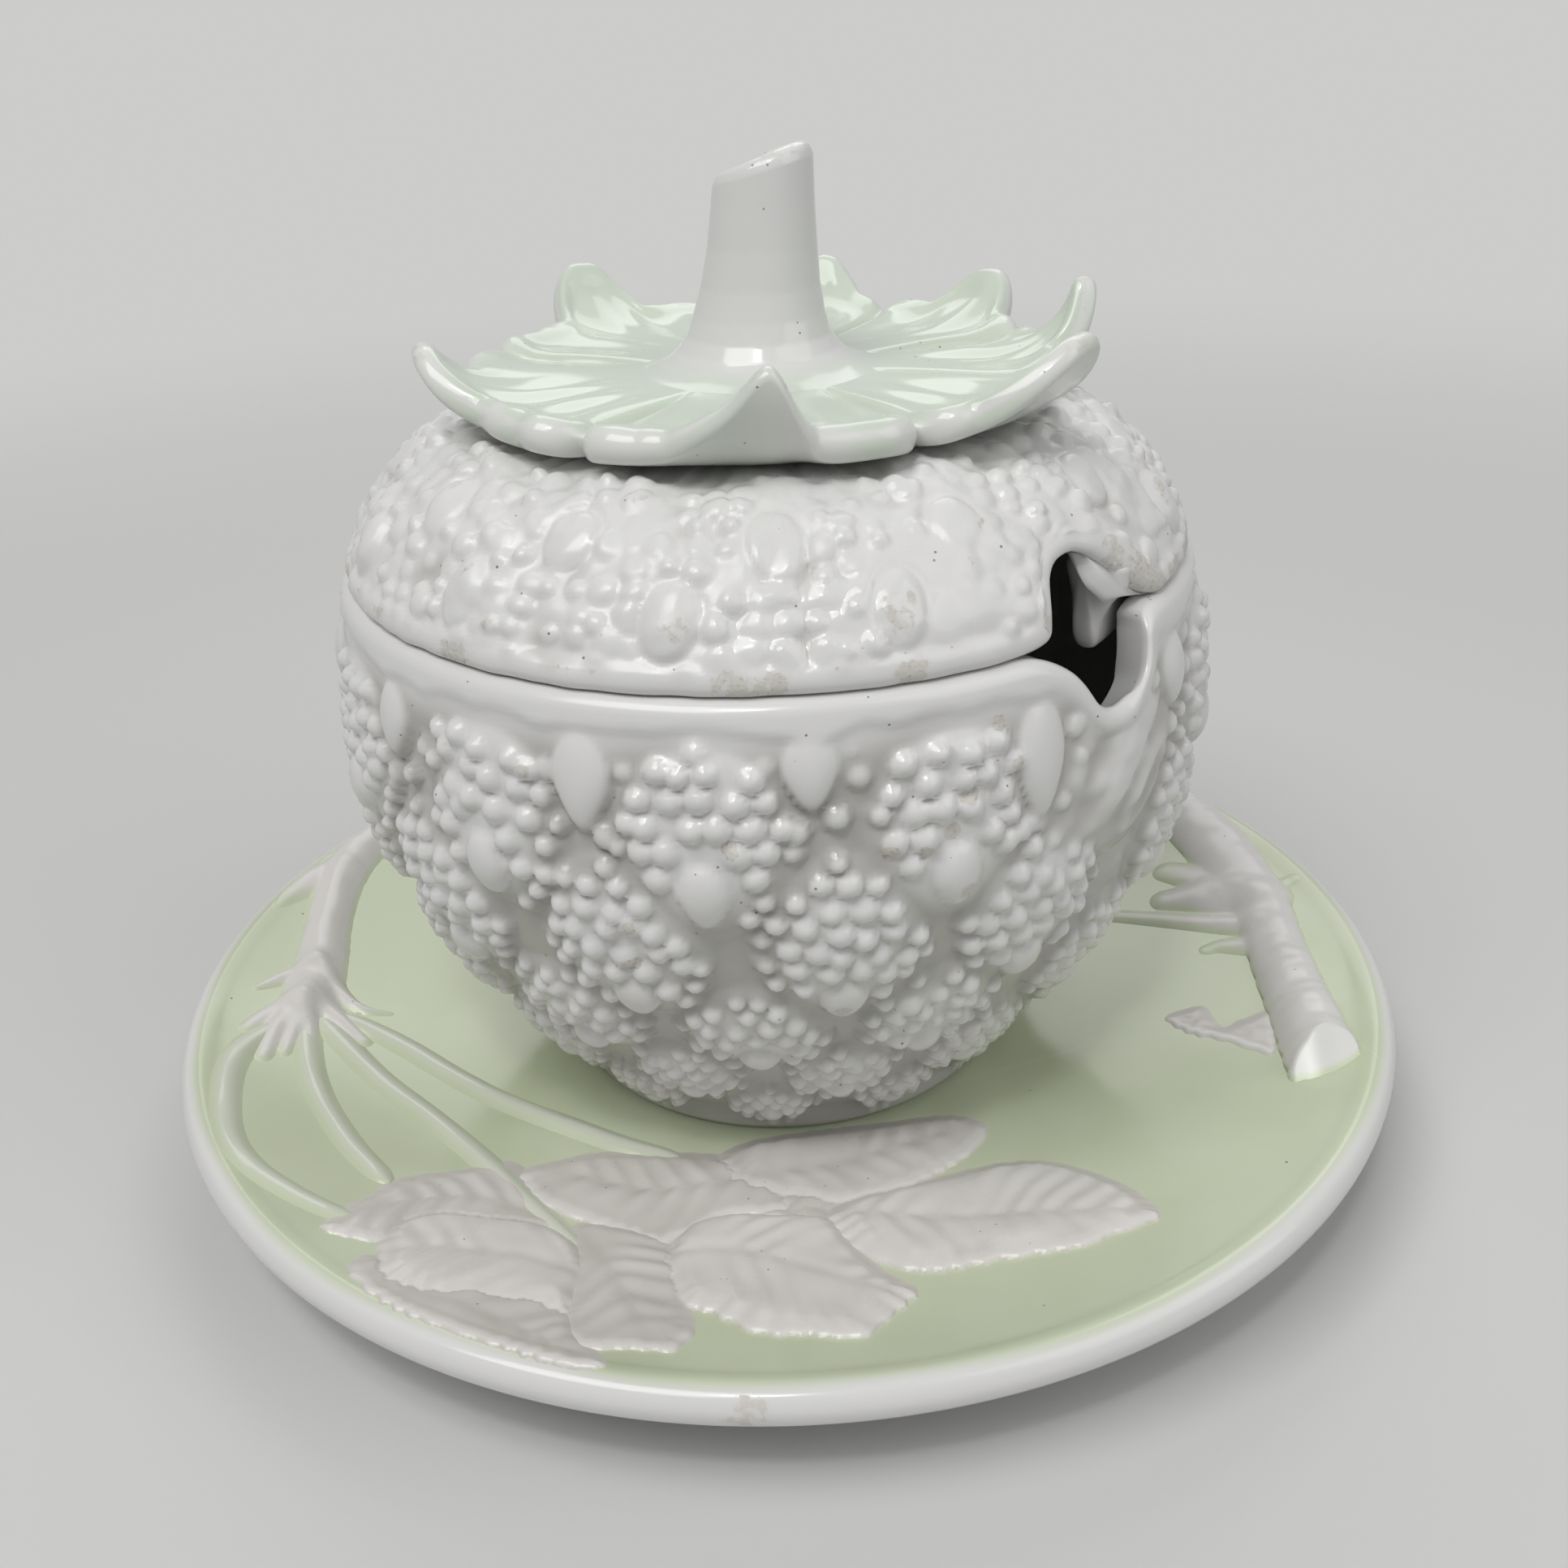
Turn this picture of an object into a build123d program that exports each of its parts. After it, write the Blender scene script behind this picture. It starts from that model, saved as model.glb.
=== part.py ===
from build123d import *
import os
from math import atan2, copysign, cos, hypot, pi, radians, sin, sqrt

# A jam pot shaped like a beaded fruit, with a lid that ends in a crown of leaves and a stalk.
# It stands loose on a saucer with leaves and canes in relief.
# Millimetres, Z up. The origin is on the table, under the middle of the saucer.
# The spoon notch in the pot and the lid faces +X.

# Saucer
saucer_radius = 75.0
saucer_wall = 4.0
saucer_dish_depth = 7.5
saucer_well_clearance = 6.7
saucer_rim_thickness = 4.4
saucer_foot_radius = 44.0
saucer_foot_width = 5.0
saucer_foot_height = 3.0
saucer_foot_edge_radius = 0.8

# Relief on the saucer. Its places are shares of the saucer radius, seen from above, in a frame
# that is turned from the notch by relief_turn degrees. The pot's place ends at relief_inner_share.
relief_turn = 46.5
relief_inner_share = 0.393
pot_clearance_on_saucer = 1.7
leaf_height = 1.2
leaf_rib_height = 1.7
leaf_rib_width = 1.6
leaf_tooth_depth = 0.9
leaf_teeth = 7
small_leaf_height = 0.8
leaf_stalk_height = 0.9
leaf_stalk_width = 2.2
leaf_stem_height = 2.0
leaf_stem_width = 4.6
spur_width = 2.4
cane_height = 3.0
cane_width = 6.6
cane_end_radius = 4.2

# Pot
pot_height = 63.9
pot_belly_radius = 49.6
pot_belly_height = 48.0
pot_waist_inset = 6.4
pot_waist_height = 24.0
pot_rim_inset = 2.3
pot_foot_radius = 26.3
pot_foot_width = 5.0
pot_foot_recess = 1.2
pot_rim_wall = 3.4
pot_wall = 2.6
pot_floor = 5.0
pot_floor_inset = 4.8
pot_rim_edge_radius = 0.9

# The fruit's beads stand in clusters, which are rows of mounds on the pot's wall. They reach the
# pot's full radius, and the wall lies pot_relief_depth inside it, up to the plain band at the rim.
# Each row is its height as a share of the pot's, the radius of its mounds as a share of the
# belly's, their rise as a share of cluster_rise, and the first one's direction from the notch.
pot_relief_depth = 1.7
pot_band_height = 3.3
cluster_rise = 1.9
clusters_around = 13
cluster_row_shares = (
    (0.765, 0.306, 1.0, 3.7),
    (0.554, 0.294, 1.0, -35.3),
    (0.366, 0.268, 0.9, -47.6),
    (0.219, 0.236, 0.75, -34.0),
)

# Lid
lid_shoulder_inset = 9.8
lid_shoulder_height = 13.3
lid_rise = 15.7
lid_side_slope = 14.0
lid_wall = 4.0
lid_edge_radius = 1.1
lid_flange_clearance = 0.6
lid_flange_thickness = 3.0
lid_flange_depth = 4.6

# Spoon notch, as shares of half its width and of its height above or below the seam
notch_width = 16.4
notch_rise = 8.8
notch_drop = 8.9
notch_corner_radius = 1.8
notch_outline_shares = (
    (-1.0, 0.0),
    (-0.82, 0.35),
    (-0.88, 0.98),
    (-0.36, 0.98),
    (1.0, 0.05),
    (1.05, -0.85),
    (0.30, -1.0),
)

# Crown of leaves on the lid. The tips and the grooves between them are each a direction in
# degrees from the notch and a reach as a share of crown_leaf_radius. The side shares say how far
# a leaf's outline has turned from groove to tip, and how much of their difference in reach it has.
crown_leaf_radius = 37.6
crown_floor_radius = 22.0
crown_thickness = 2.8
crown_tip_height = 11.0
crown_tip_shares = (
    (-42.5, 0.97),
    (9.5, 1.0),
    (48.5, 0.98),
    (86.5, 1.0),
    (121.5, 0.96),
    (173.5, 1.0),
    (239.5, 1.0),
)
crown_groove_shares = (
    (-86.5, 0.77),
    (-10.5, 0.77),
    (26.5, 0.80),
    (64.5, 0.85),
    (111.5, 0.82),
    (143.5, 0.80),
    (206.5, 0.84),
)
crown_side_shares = ((0.25, 0.18), (0.55, 0.38), (0.85, 0.86))

# Stalk, which is the lid's handle. Each section is its height, its half width
# and how far its middle has leaned over, as shares of the stalk's own sizes.
stalk_height = 24.2
stalk_base_radius = 12.4
stalk_lean = 1.6
stalk_lean_direction = 46.5
stalk_cut_angle = 22.0
stalk_edge_radius = 0.8
stalk_section_shares = (
    (0.0, 1.0, 0.0),
    (0.07, 0.86, 0.15),
    (0.21, 0.60, 0.05),
    (0.42, 0.485, 0.38),
    (0.70, 0.43, 0.72),
    (1.08, 0.375, 1.0),
)

cut_overrun = 12.0

# Heights and radii that follow from the sizes above
well_z = saucer_foot_height + saucer_wall
pot_z = well_z
seat_z = pot_z + pot_height
crown_z = seat_z + lid_rise
stalk_z = crown_z + crown_thickness
pot_waist_radius = pot_belly_radius - pot_waist_inset
pot_rim_radius = pot_belly_radius - pot_rim_inset
pot_mouth_radius = pot_rim_radius - pot_rim_wall
lid_shoulder_radius = pot_rim_radius - lid_shoulder_inset
saucer_well_radius = pot_foot_radius + saucer_well_clearance

# Pot profile: tangent arcs at the belly, the waist and the foot
belly_turn = 2 * atan2(pot_waist_inset, pot_belly_height - pot_waist_height)
base_chord_angle = atan2(pot_waist_radius - pot_foot_radius, pot_waist_height)
base_chord = hypot(pot_waist_radius - pot_foot_radius, pot_waist_height)
base_arc_radius = base_chord / (2 * sin(base_chord_angle - belly_turn))
base_center = (
    pot_waist_radius - base_arc_radius * cos(belly_turn),
    pot_waist_height + base_arc_radius * sin(belly_turn),
)
waist_run = pot_belly_height - pot_waist_height
lower_arc_radius = (waist_run**2 + pot_waist_inset**2) / (2 * pot_waist_inset)
rim_run = pot_height - pot_belly_height
upper_arc_radius = (rim_run**2 + pot_rim_inset**2) / (2 * pot_rim_inset)


def pot_profile_point(height, inset=0):
    """Radius and height above the foot of a point of the pot's profile, set in at right angles."""
    if height < pot_waist_height:
        center, arc_radius = base_center, base_arc_radius
    elif height < pot_belly_height:
        center, arc_radius = (pot_belly_radius - lower_arc_radius, pot_belly_height), lower_arc_radius
    else:
        center, arc_radius = (pot_belly_radius - upper_arc_radius, pot_belly_height), upper_arc_radius
    rise = height - center[1]
    reach = copysign(sqrt(arc_radius**2 - rise**2), arc_radius)
    share = (arc_radius - inset) / arc_radius
    return (center[0] + reach * share, center[1] + rise * share)


pot_floor_radius = pot_profile_point(pot_floor)[0] - pot_floor_inset

# Saucer: a turned dish with a thick round rim and a foot ring
dish_edge = (saucer_radius - saucer_rim_thickness / 2, well_z + saucer_dish_depth)
dish_run = dish_edge[0] - saucer_well_radius
dish_arc_radius = (dish_run**2 + saucer_dish_depth**2) / (2 * saucer_dish_depth)
dish_edge_angle = atan2(dish_run, dish_arc_radius - saucer_dish_depth)
rim_outer = (saucer_radius, dish_edge[1] - saucer_rim_thickness / 2)
rim_lower = (
    dish_edge[0] + (saucer_rim_thickness - saucer_wall) * sin(dish_edge_angle),
    dish_edge[1] - saucer_rim_thickness,
)
foot_inner_radius = saucer_foot_radius - saucer_foot_width


def dish_z(radius):
    """Height of the saucer's upper face at a radius."""
    run = max(radius - saucer_well_radius, 0)
    return well_z + dish_arc_radius - sqrt(dish_arc_radius**2 - run**2)


with BuildPart() as saucer:
    with BuildSketch(Plane.XZ):
        with BuildLine():
            Line((0, well_z), (saucer_well_radius, well_z))
            TangentArc((saucer_well_radius, well_z), dish_edge, tangent=(1, 0))
            ThreePointArc(dish_edge, rim_outer, rim_lower)
            foot_joint = (saucer_foot_radius, dish_z(saucer_foot_radius) - saucer_wall)
            RadiusArc(rim_lower, foot_joint, dish_arc_radius + saucer_wall)
            Polyline(
                foot_joint,
                (saucer_foot_radius, 0),
                (foot_inner_radius, 0),
                (foot_inner_radius, saucer_foot_height),
                (0, saucer_foot_height),
                (0, well_z),
            )
        make_face()
    revolve(axis=Axis.Z)
    foot_edges = saucer.edges().filter_by(GeomType.CIRCLE).group_by(Axis.Z)[0]
    fillet(foot_edges, saucer_foot_edge_radius)
saucer.part.label = "saucer"


# Relief: each sprig is an outline in plan, raised from the saucer's upper face by its height
relief_plane = Plane.XY.rotated((0, 0, relief_turn))
relief_inner_radius = pot_profile_point(leaf_rib_height)[0] + pot_clearance_on_saucer


def relief_band(height):
    """The layer of the given height that lies on the saucer's upper face, clear of the pot."""
    raised_edge = (dish_edge[0], dish_edge[1] + height)
    with BuildPart() as band:
        with BuildSketch(Plane.XZ):
            with BuildLine():
                Line((relief_inner_radius, well_z), (saucer_well_radius, well_z))
                TangentArc((saucer_well_radius, well_z), dish_edge, tangent=(1, 0))
                Line(dish_edge, raised_edge)
                RadiusArc(raised_edge, (saucer_well_radius, well_z + height), dish_arc_radius)
                Polyline(
                    (saucer_well_radius, well_z + height),
                    (relief_inner_radius, well_z + height),
                    (relief_inner_radius, well_z),
                )
            make_face()
        revolve(axis=Axis.Z)
    return band.part


def plan(share_point):
    """A point in plan, out from the pot's place to the saucer's edge as its shares say."""
    share = hypot(*share_point)
    run_share = (share - relief_inner_share) / (1 - relief_inner_share)
    reach = relief_inner_radius + (saucer_radius - relief_inner_radius) * run_share
    return (share_point[0] * reach / share, share_point[1] * reach / share)


def leaf_outline(base, tip, width_share):
    """Corner points of a toothed leaf, out along one side and back along the other."""
    start = Vector(*plan(base))
    along = Vector(*plan(tip)) - start
    side = along.normalized().rotate(Axis.Z, 90)
    half_width = width_share * along.length / 2
    one_side, other_side = [start], [start]
    for corner in range(1, 2 * leaf_teeth):
        share = corner / (2 * leaf_teeth)
        reach = half_width * sin(pi * share**0.8) ** 0.7 - leaf_tooth_depth * (corner % 2)
        reach = max(reach, leaf_rib_width / 2)
        one_side.append(start + along * share + side * reach)
        other_side.append(start + along * share - side * reach)
    return one_side + [start + along] + other_side[:0:-1]


def leaf_sprig(leaves, height, rib_height):
    """A sprig of leaves, each with a raised rib along its middle."""
    with BuildPart() as blades:
        with BuildSketch(relief_plane):
            for leaf in leaves:
                with BuildLine():
                    Polyline(*leaf_outline(*leaf), close=True)
                make_face()
        extrude(amount=dish_edge[1] + cut_overrun)
        add(relief_band(height), mode=Mode.INTERSECT)
    with BuildPart() as sprig:
        with BuildSketch(relief_plane):
            for base, tip, width_share in leaves:
                with BuildLine() as rib_line:
                    Line(plan(base), plan(tip))
                trace(line_width=leaf_rib_width)
        extrude(amount=dish_edge[1] + cut_overrun)
        add(relief_band(rib_height), mode=Mode.INTERSECT)
        add(blades.part)
    return sprig.part


def rod_sprig(rods, height, end_circles=()):
    """A sprig of rods. Each rod is its width and the places that it runs through."""
    with BuildPart() as sprig:
        with BuildSketch(relief_plane):
            for width, places in rods:
                with BuildLine():
                    Spline(*[plan(place) for place in places])
                trace(line_width=width)
            for radius, place in end_circles:
                with Locations(plan(place)):
                    Circle(radius)
        extrude(amount=dish_edge[1] + cut_overrun)
        add(relief_band(height), mode=Mode.INTERSECT)
    return sprig.part


# Leaves: base, tip, and width as a share of the leaf's length
left_leaf_shares = (
    ((-0.30, -0.54), (-0.655, -0.60), 0.66),
    ((-0.36, -0.52), (-0.37, -0.86), 0.95),
    ((-0.26, -0.66), (-0.24, -0.93), 0.60),
)
middle_leaf_shares = (
    ((-0.12, -0.58), (0.10, -0.86), 0.88),
    ((-0.14, -0.62), (-0.16, -0.90), 0.40),
)
right_leaf_shares = (
    ((0.03, -0.50), (-0.38, -0.44), 0.40),
    ((0.01, -0.51), (0.30, -0.275), 0.48),
    ((0.04, -0.53), (0.52, -0.62), 0.56),
)
small_leaf_shares = (((0.79, -0.17), (0.645, -0.085), 0.62),)

# Cane: from its cut end at the right, along the rim and round the back
cane_shares = (
    (0.833, -0.26),
    (0.84, -0.10),
    (0.845, 0.05),
    (0.82, 0.22),
    (0.76, 0.42),
    (0.62, 0.63),
    (0.36, 0.80),
)
cane_arm_shares = ((0.83, 0.17), (0.72, 0.21), (0.61, 0.225))
cane_spur_shares = ((0.83, 0.15), (0.89, 0.20), (0.935, 0.19))

# Leaf stem: round the back from the cane to the knot at the left, where the leaf stalks start
leaf_stem_shares = (
    (0.36, 0.80),
    (0.0, 0.87),
    (-0.40, 0.78),
    (-0.70, 0.57),
    (-0.83, 0.32),
    (-0.83, 0.14),
    (-0.815, -0.03),
    (-0.83, -0.17),
)
knot_spur_shares = (
    ((-0.815, 0.05), (-0.86, 0.01), (-0.905, 0.0)),
    ((-0.815, 0.05), (-0.76, 0.0), (-0.70, -0.02)),
)
leaf_stalk_shares = (
    ((-0.84, -0.11), (-0.885, -0.27), (-0.81, -0.44), (-0.64, -0.57)),
    ((-0.80, -0.11), (-0.75, -0.26), (-0.66, -0.40), (-0.56, -0.48)),
    ((-0.80, -0.07), (-0.64, -0.21), (-0.46, -0.38), (-0.36, -0.52)),
    ((-0.79, -0.03), (-0.60, -0.12), (-0.40, -0.25), (-0.17, -0.38)),
)

with BuildPart() as cane:
    add(
        rod_sprig(
            ((cane_width, cane_shares), (spur_width, cane_arm_shares), (spur_width, cane_spur_shares)),
            cane_height,
            ((cane_end_radius, cane_shares[0]),),
        )
    )
cane.part.label = "cane"

with BuildPart() as leaf_stem:
    knot_spurs = [(spur_width, places) for places in knot_spur_shares]
    add(rod_sprig([(leaf_stem_width, leaf_stem_shares)] + knot_spurs, leaf_stem_height))
    add(cane.part, mode=Mode.SUBTRACT)
leaf_stem.part.label = "leaf_stem"

with BuildPart() as right_leaves:
    add(leaf_sprig(right_leaf_shares, leaf_height, leaf_rib_height))
right_leaves.part.label = "right_leaves"

with BuildPart() as middle_leaves:
    add(leaf_sprig(middle_leaf_shares, leaf_height, leaf_rib_height))
    add(right_leaves.part, mode=Mode.SUBTRACT)
middle_leaves.part.label = "middle_leaves"

with BuildPart() as left_leaves:
    add(leaf_sprig(left_leaf_shares, leaf_height, leaf_rib_height))
    add(right_leaves.part, mode=Mode.SUBTRACT)
    add(middle_leaves.part, mode=Mode.SUBTRACT)
left_leaves.part.label = "left_leaves"

with BuildPart() as small_leaf:
    add(leaf_sprig(small_leaf_shares, small_leaf_height, small_leaf_height))
    add(cane.part, mode=Mode.SUBTRACT)
small_leaf.part.label = "small_leaf"

leaf_stalks = []
for number, places in enumerate(leaf_stalk_shares, start=1):
    with BuildPart() as leaf_stalk:
        add(rod_sprig(((leaf_stalk_width, places),), leaf_stalk_height))
        add(leaf_stem.part, mode=Mode.SUBTRACT)
        add(left_leaves.part, mode=Mode.SUBTRACT)
        add(right_leaves.part, mode=Mode.SUBTRACT)
        for earlier in leaf_stalks:
            add(earlier.part, mode=Mode.SUBTRACT)
    leaf_stalk.part.label = f"leaf_stalk_{number}"
    leaf_stalks.append(leaf_stalk)


# Spoon notch: one opening cut through the pot rim and the lid edge
def notch_cutter():
    """A prism along +X from the middle to outside the pot, with the notch as its outline."""
    corners = []
    for across_share, up_share in notch_outline_shares:
        reach_z = notch_rise if up_share > 0 else notch_drop
        corners.append((across_share * notch_width / 2, seat_z + up_share * reach_z))
    with BuildPart() as cutter:
        with BuildSketch(Plane.YZ.offset(pot_floor_radius)) as opening:
            with BuildLine():
                Polyline(*corners, close=True)
            make_face()
            inner_corners = opening.vertices().sort_by(Axis.Z)[:3] + opening.vertices().sort_by(Axis.Z)[-2:]
            fillet(inner_corners, notch_corner_radius)
        extrude(amount=pot_belly_radius - pot_floor_radius + cut_overrun)
    return cutter.part


notch = notch_cutter()

# Pot: belly, waist and foot in tangent arcs, with clusters of beads, hollow, with a recessed foot
waist_direction = (-sin(belly_turn), -cos(belly_turn))


def pot_place(height, inset):
    """A point of the pot's profile, set in at right angles, as radius and height above the table."""
    radius, up = pot_profile_point(height, inset)
    return (radius, pot_z + up)


outer_belly = pot_place(pot_belly_height, pot_relief_depth)
outer_waist = pot_place(pot_waist_height, pot_relief_depth)
inner_belly = pot_place(pot_belly_height, pot_relief_depth + pot_wall)
inner_waist = pot_place(pot_waist_height, pot_relief_depth + pot_wall)
band_edge = pot_place(pot_height - pot_band_height, 0)
band_joint = (band_edge[0] - pot_relief_depth, band_edge[1])

with BuildPart() as pot:
    with BuildSketch(Plane.XZ):
        with BuildLine():
            TangentArc(outer_belly, band_joint, tangent=(0, 1))
            TangentArc(outer_belly, outer_waist, tangent=(0, -1))
            TangentArc(outer_waist, (pot_foot_radius, pot_z), tangent=waist_direction)
            Polyline((pot_foot_radius, pot_z), (0, pot_z), (0, seat_z), (pot_rim_radius, seat_z))
            Polyline((pot_rim_radius, seat_z), band_edge, band_joint)
        make_face()
    revolve(axis=Axis.Z)
    for height_share, radius_share, rise_share, direction in cluster_row_shares:
        cluster_radius = pot_belly_radius * radius_share
        inset = pot_relief_depth + cluster_radius - cluster_rise * rise_share
        center_radius, center_z = pot_place(pot_height * height_share, inset)
        with Locations((0, 0, center_z)):
            with PolarLocations(center_radius, clusters_around, start_angle=direction):
                Sphere(cluster_radius, rotation=(0, 0, 180))
    with BuildSketch(Plane.XZ):
        with BuildLine():
            TangentArc(inner_belly, (pot_mouth_radius, seat_z), tangent=(0, 1))
            TangentArc(inner_belly, inner_waist, tangent=(0, -1))
            TangentArc(inner_waist, (pot_floor_radius, pot_z + pot_floor), tangent=waist_direction)
            Polyline(
                (pot_floor_radius, pot_z + pot_floor),
                (0, pot_z + pot_floor),
                (0, seat_z),
                (pot_mouth_radius, seat_z),
            )
        make_face()
    revolve(axis=Axis.Z, mode=Mode.SUBTRACT)
    with BuildSketch(Plane.XY.offset(pot_z)):
        Circle(pot_foot_radius - pot_foot_width)
    extrude(amount=pot_foot_recess, mode=Mode.SUBTRACT)
    rim_edges = pot.edges().filter_by(GeomType.CIRCLE).group_by(Axis.Z)[-1]
    fillet(rim_edges, pot_rim_edge_radius)
    add(notch, mode=Mode.SUBTRACT)
pot.part.label = "pot"

# Lid: a dome with a flange that drops inside the pot's mouth
shoulder_z = seat_z + lid_shoulder_height
side_direction = (-sin(radians(lid_side_slope)), cos(radians(lid_side_slope)))
side_chord = atan2(pot_rim_radius - lid_shoulder_radius, lid_shoulder_height)
shoulder_turn = 2 * side_chord - radians(lid_side_slope)
shoulder_direction = (-sin(shoulder_turn), cos(shoulder_turn))
top_run = (lid_rise - lid_shoulder_height) * (1 + sin(shoulder_turn)) / cos(shoulder_turn)
top_radius = lid_shoulder_radius - top_run
flange_radius = pot_mouth_radius - lid_flange_clearance
flange_inner_radius = flange_radius - lid_flange_thickness
inner_shoulder = (
    lid_shoulder_radius - lid_wall * cos(shoulder_turn),
    shoulder_z - lid_wall * sin(shoulder_turn),
)

with BuildPart() as lid:
    with BuildSketch(Plane.XZ):
        with BuildLine():
            TangentArc((pot_rim_radius, seat_z), (lid_shoulder_radius, shoulder_z), tangent=side_direction)
            TangentArc((lid_shoulder_radius, shoulder_z), (top_radius, crown_z), tangent=shoulder_direction)
            Polyline(
                (top_radius, crown_z),
                (0, crown_z),
                (0, crown_z - lid_wall),
                (top_radius, crown_z - lid_wall),
                inner_shoulder,
                (flange_inner_radius, seat_z),
                (flange_inner_radius, seat_z - lid_flange_depth),
                (flange_radius, seat_z - lid_flange_depth),
                (flange_radius, seat_z),
                (pot_rim_radius, seat_z),
            )
        make_face()
    revolve(axis=Axis.Z)
    seam_edges = lid.edges().filter_by(GeomType.CIRCLE).filter_by_position(Axis.Z, seat_z, seat_z)
    fillet(seam_edges.sort_by(SortBy.RADIUS)[-1], lid_edge_radius)
    add(notch, mode=Mode.SUBTRACT)
lid.part.label = "lid"


# Crown: a thick dish of leaves whose tips curl up
def crown_point(direction, share):
    """A point in plan, from a direction in degrees and a share of the leaves' reach."""
    reach = crown_leaf_radius * share
    return (reach * cos(radians(direction)), reach * sin(radians(direction)))


def side_points(groove, tip):
    """Outline points of one leaf side, from the groove up to but not including the tip."""
    turn = (tip[0] - groove[0] + 180) % 360 - 180
    return [crown_point(*groove)] + [
        crown_point(groove[0] + turn * turn_share, groove[1] + (tip[1] - groove[1]) * reach_share)
        for turn_share, reach_share in crown_side_shares
    ]


curl_end = (crown_leaf_radius, crown_z + crown_tip_height)
curl_turn = 2 * atan2(crown_tip_height, crown_leaf_radius - crown_floor_radius)
curl_inner_end = (
    curl_end[0] - crown_thickness * sin(curl_turn),
    curl_end[1] + crown_thickness * cos(curl_turn),
)

with BuildPart() as crown:
    with BuildSketch(Plane.XZ):
        with BuildLine():
            Line((0, crown_z), (crown_floor_radius, crown_z))
            TangentArc((crown_floor_radius, crown_z), curl_end, tangent=(1, 0))
            Line(curl_end, curl_inner_end)
            TangentArc((crown_floor_radius, stalk_z), curl_inner_end, tangent=(1, 0))
            Polyline((crown_floor_radius, stalk_z), (0, stalk_z), (0, crown_z))
        make_face()
    revolve(axis=Axis.Z)
    with BuildSketch(Plane.XY.offset(crown_z)):
        for place, tip in enumerate(crown_tip_shares):
            groove = crown_groove_shares[place]
            next_groove = crown_groove_shares[(place + 1) % len(crown_groove_shares)]
            outline = side_points(groove, tip) + [crown_point(*tip)] + side_points(next_groove, tip)[::-1]
            with BuildLine():
                Spline(*outline)
                Polyline(outline[-1], (0, 0), outline[0])
            make_face()
    extrude(amount=crown_tip_height + crown_thickness, mode=Mode.INTERSECT)
crown.part.label = "crown"

# Stalk: flared at its base, leaning a little, with its top cut on a slant
stalk_sections = []
for height_share, radius_share, lean_share in stalk_section_shares:
    lean = stalk_lean * lean_share
    middle = (
        lean * cos(radians(stalk_lean_direction)),
        lean * sin(radians(stalk_lean_direction)),
        stalk_z + stalk_height * height_share,
    )
    stalk_sections.append((Plane(origin=middle), stalk_base_radius * radius_share))

with BuildPart() as stalk:
    for section_plane, section_radius in stalk_sections:
        with BuildSketch(section_plane):
            Circle(section_radius)
    loft()
    top_reach = stalk_sections[-1][1] + stalk_lean
    cut_origin = (
        top_reach * cos(radians(stalk_lean_direction)),
        top_reach * sin(radians(stalk_lean_direction)),
        stalk_z + stalk_height,
    )
    cut_plane = Plane(origin=cut_origin).rotated((0, 0, stalk_lean_direction))
    cut_plane = cut_plane.rotated((0, -stalk_cut_angle, 0))
    split(bisect_by=cut_plane, keep=Keep.BOTTOM)
    cut_face = stalk.faces().sort_by(Axis.Z)[-1]
    fillet(cut_face.edges(), stalk_edge_radius)
stalk.part.label = "stalk"

pieces = (
    saucer,
    cane,
    leaf_stem,
    *leaf_stalks,
    left_leaves,
    middle_leaves,
    right_leaves,
    small_leaf,
    pot,
    lid,
    crown,
    stalk,
)
os.makedirs("parts", exist_ok=True)
for piece in pieces:
    export_step(piece.part, f"parts/{piece.part.label}.step")
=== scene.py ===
import math

import bpy
import numpy as np
from mathutils import Matrix


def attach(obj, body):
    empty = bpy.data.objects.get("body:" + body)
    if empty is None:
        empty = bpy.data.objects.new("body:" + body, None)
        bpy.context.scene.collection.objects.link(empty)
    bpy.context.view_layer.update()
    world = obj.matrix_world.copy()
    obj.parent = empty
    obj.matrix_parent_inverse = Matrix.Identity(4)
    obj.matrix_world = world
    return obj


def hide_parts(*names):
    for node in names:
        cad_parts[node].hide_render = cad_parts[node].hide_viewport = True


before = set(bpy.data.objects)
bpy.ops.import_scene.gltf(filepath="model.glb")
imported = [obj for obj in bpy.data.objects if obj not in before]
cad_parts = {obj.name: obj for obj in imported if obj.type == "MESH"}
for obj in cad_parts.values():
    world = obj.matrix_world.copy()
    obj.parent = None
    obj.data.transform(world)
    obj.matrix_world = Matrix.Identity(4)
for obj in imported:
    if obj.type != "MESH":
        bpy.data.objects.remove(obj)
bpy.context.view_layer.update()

# A jam pot in glazed earthenware. Lengths are in millimetres until a mesh is written, and heights
# are above the table. Directions round the pot are in degrees from the spoon notch, on +X.
MM = 0.001

# Sizes of the turned bodies, as the frame has them
well_z = 7.0
pot_z = 7.0
seat_z = 70.9
crown_z = 86.6
stalk_z = 89.4
pot_height = seat_z - pot_z
belly_radius, belly_height = 49.6, 48.0
waist_radius, waist_height = 43.2, 24.0
rim_radius = 47.3
foot_radius = 26.3
pot_wall = 3.4
shoulder_radius, shoulder_rise = 37.5, 13.3
lid_rise = 15.7
lid_wall = 4.2
saucer_radius = 75.0
well_radius = 33.0
dish_edge_radius = 72.8
dish_depth = 7.5
dish_arc_radius = 109.35
relief_turn = 46.5


def smooth(low, high, x):
    """0 below low, 1 above high, and a soft step between them."""
    t = np.clip((x - low) / (high - low), 0, 1)
    return t * t * (3 - 2 * t)


def wrap(degrees):
    """Degrees brought to between -180 and 180."""
    return (degrees + 180) % 360 - 180


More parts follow.
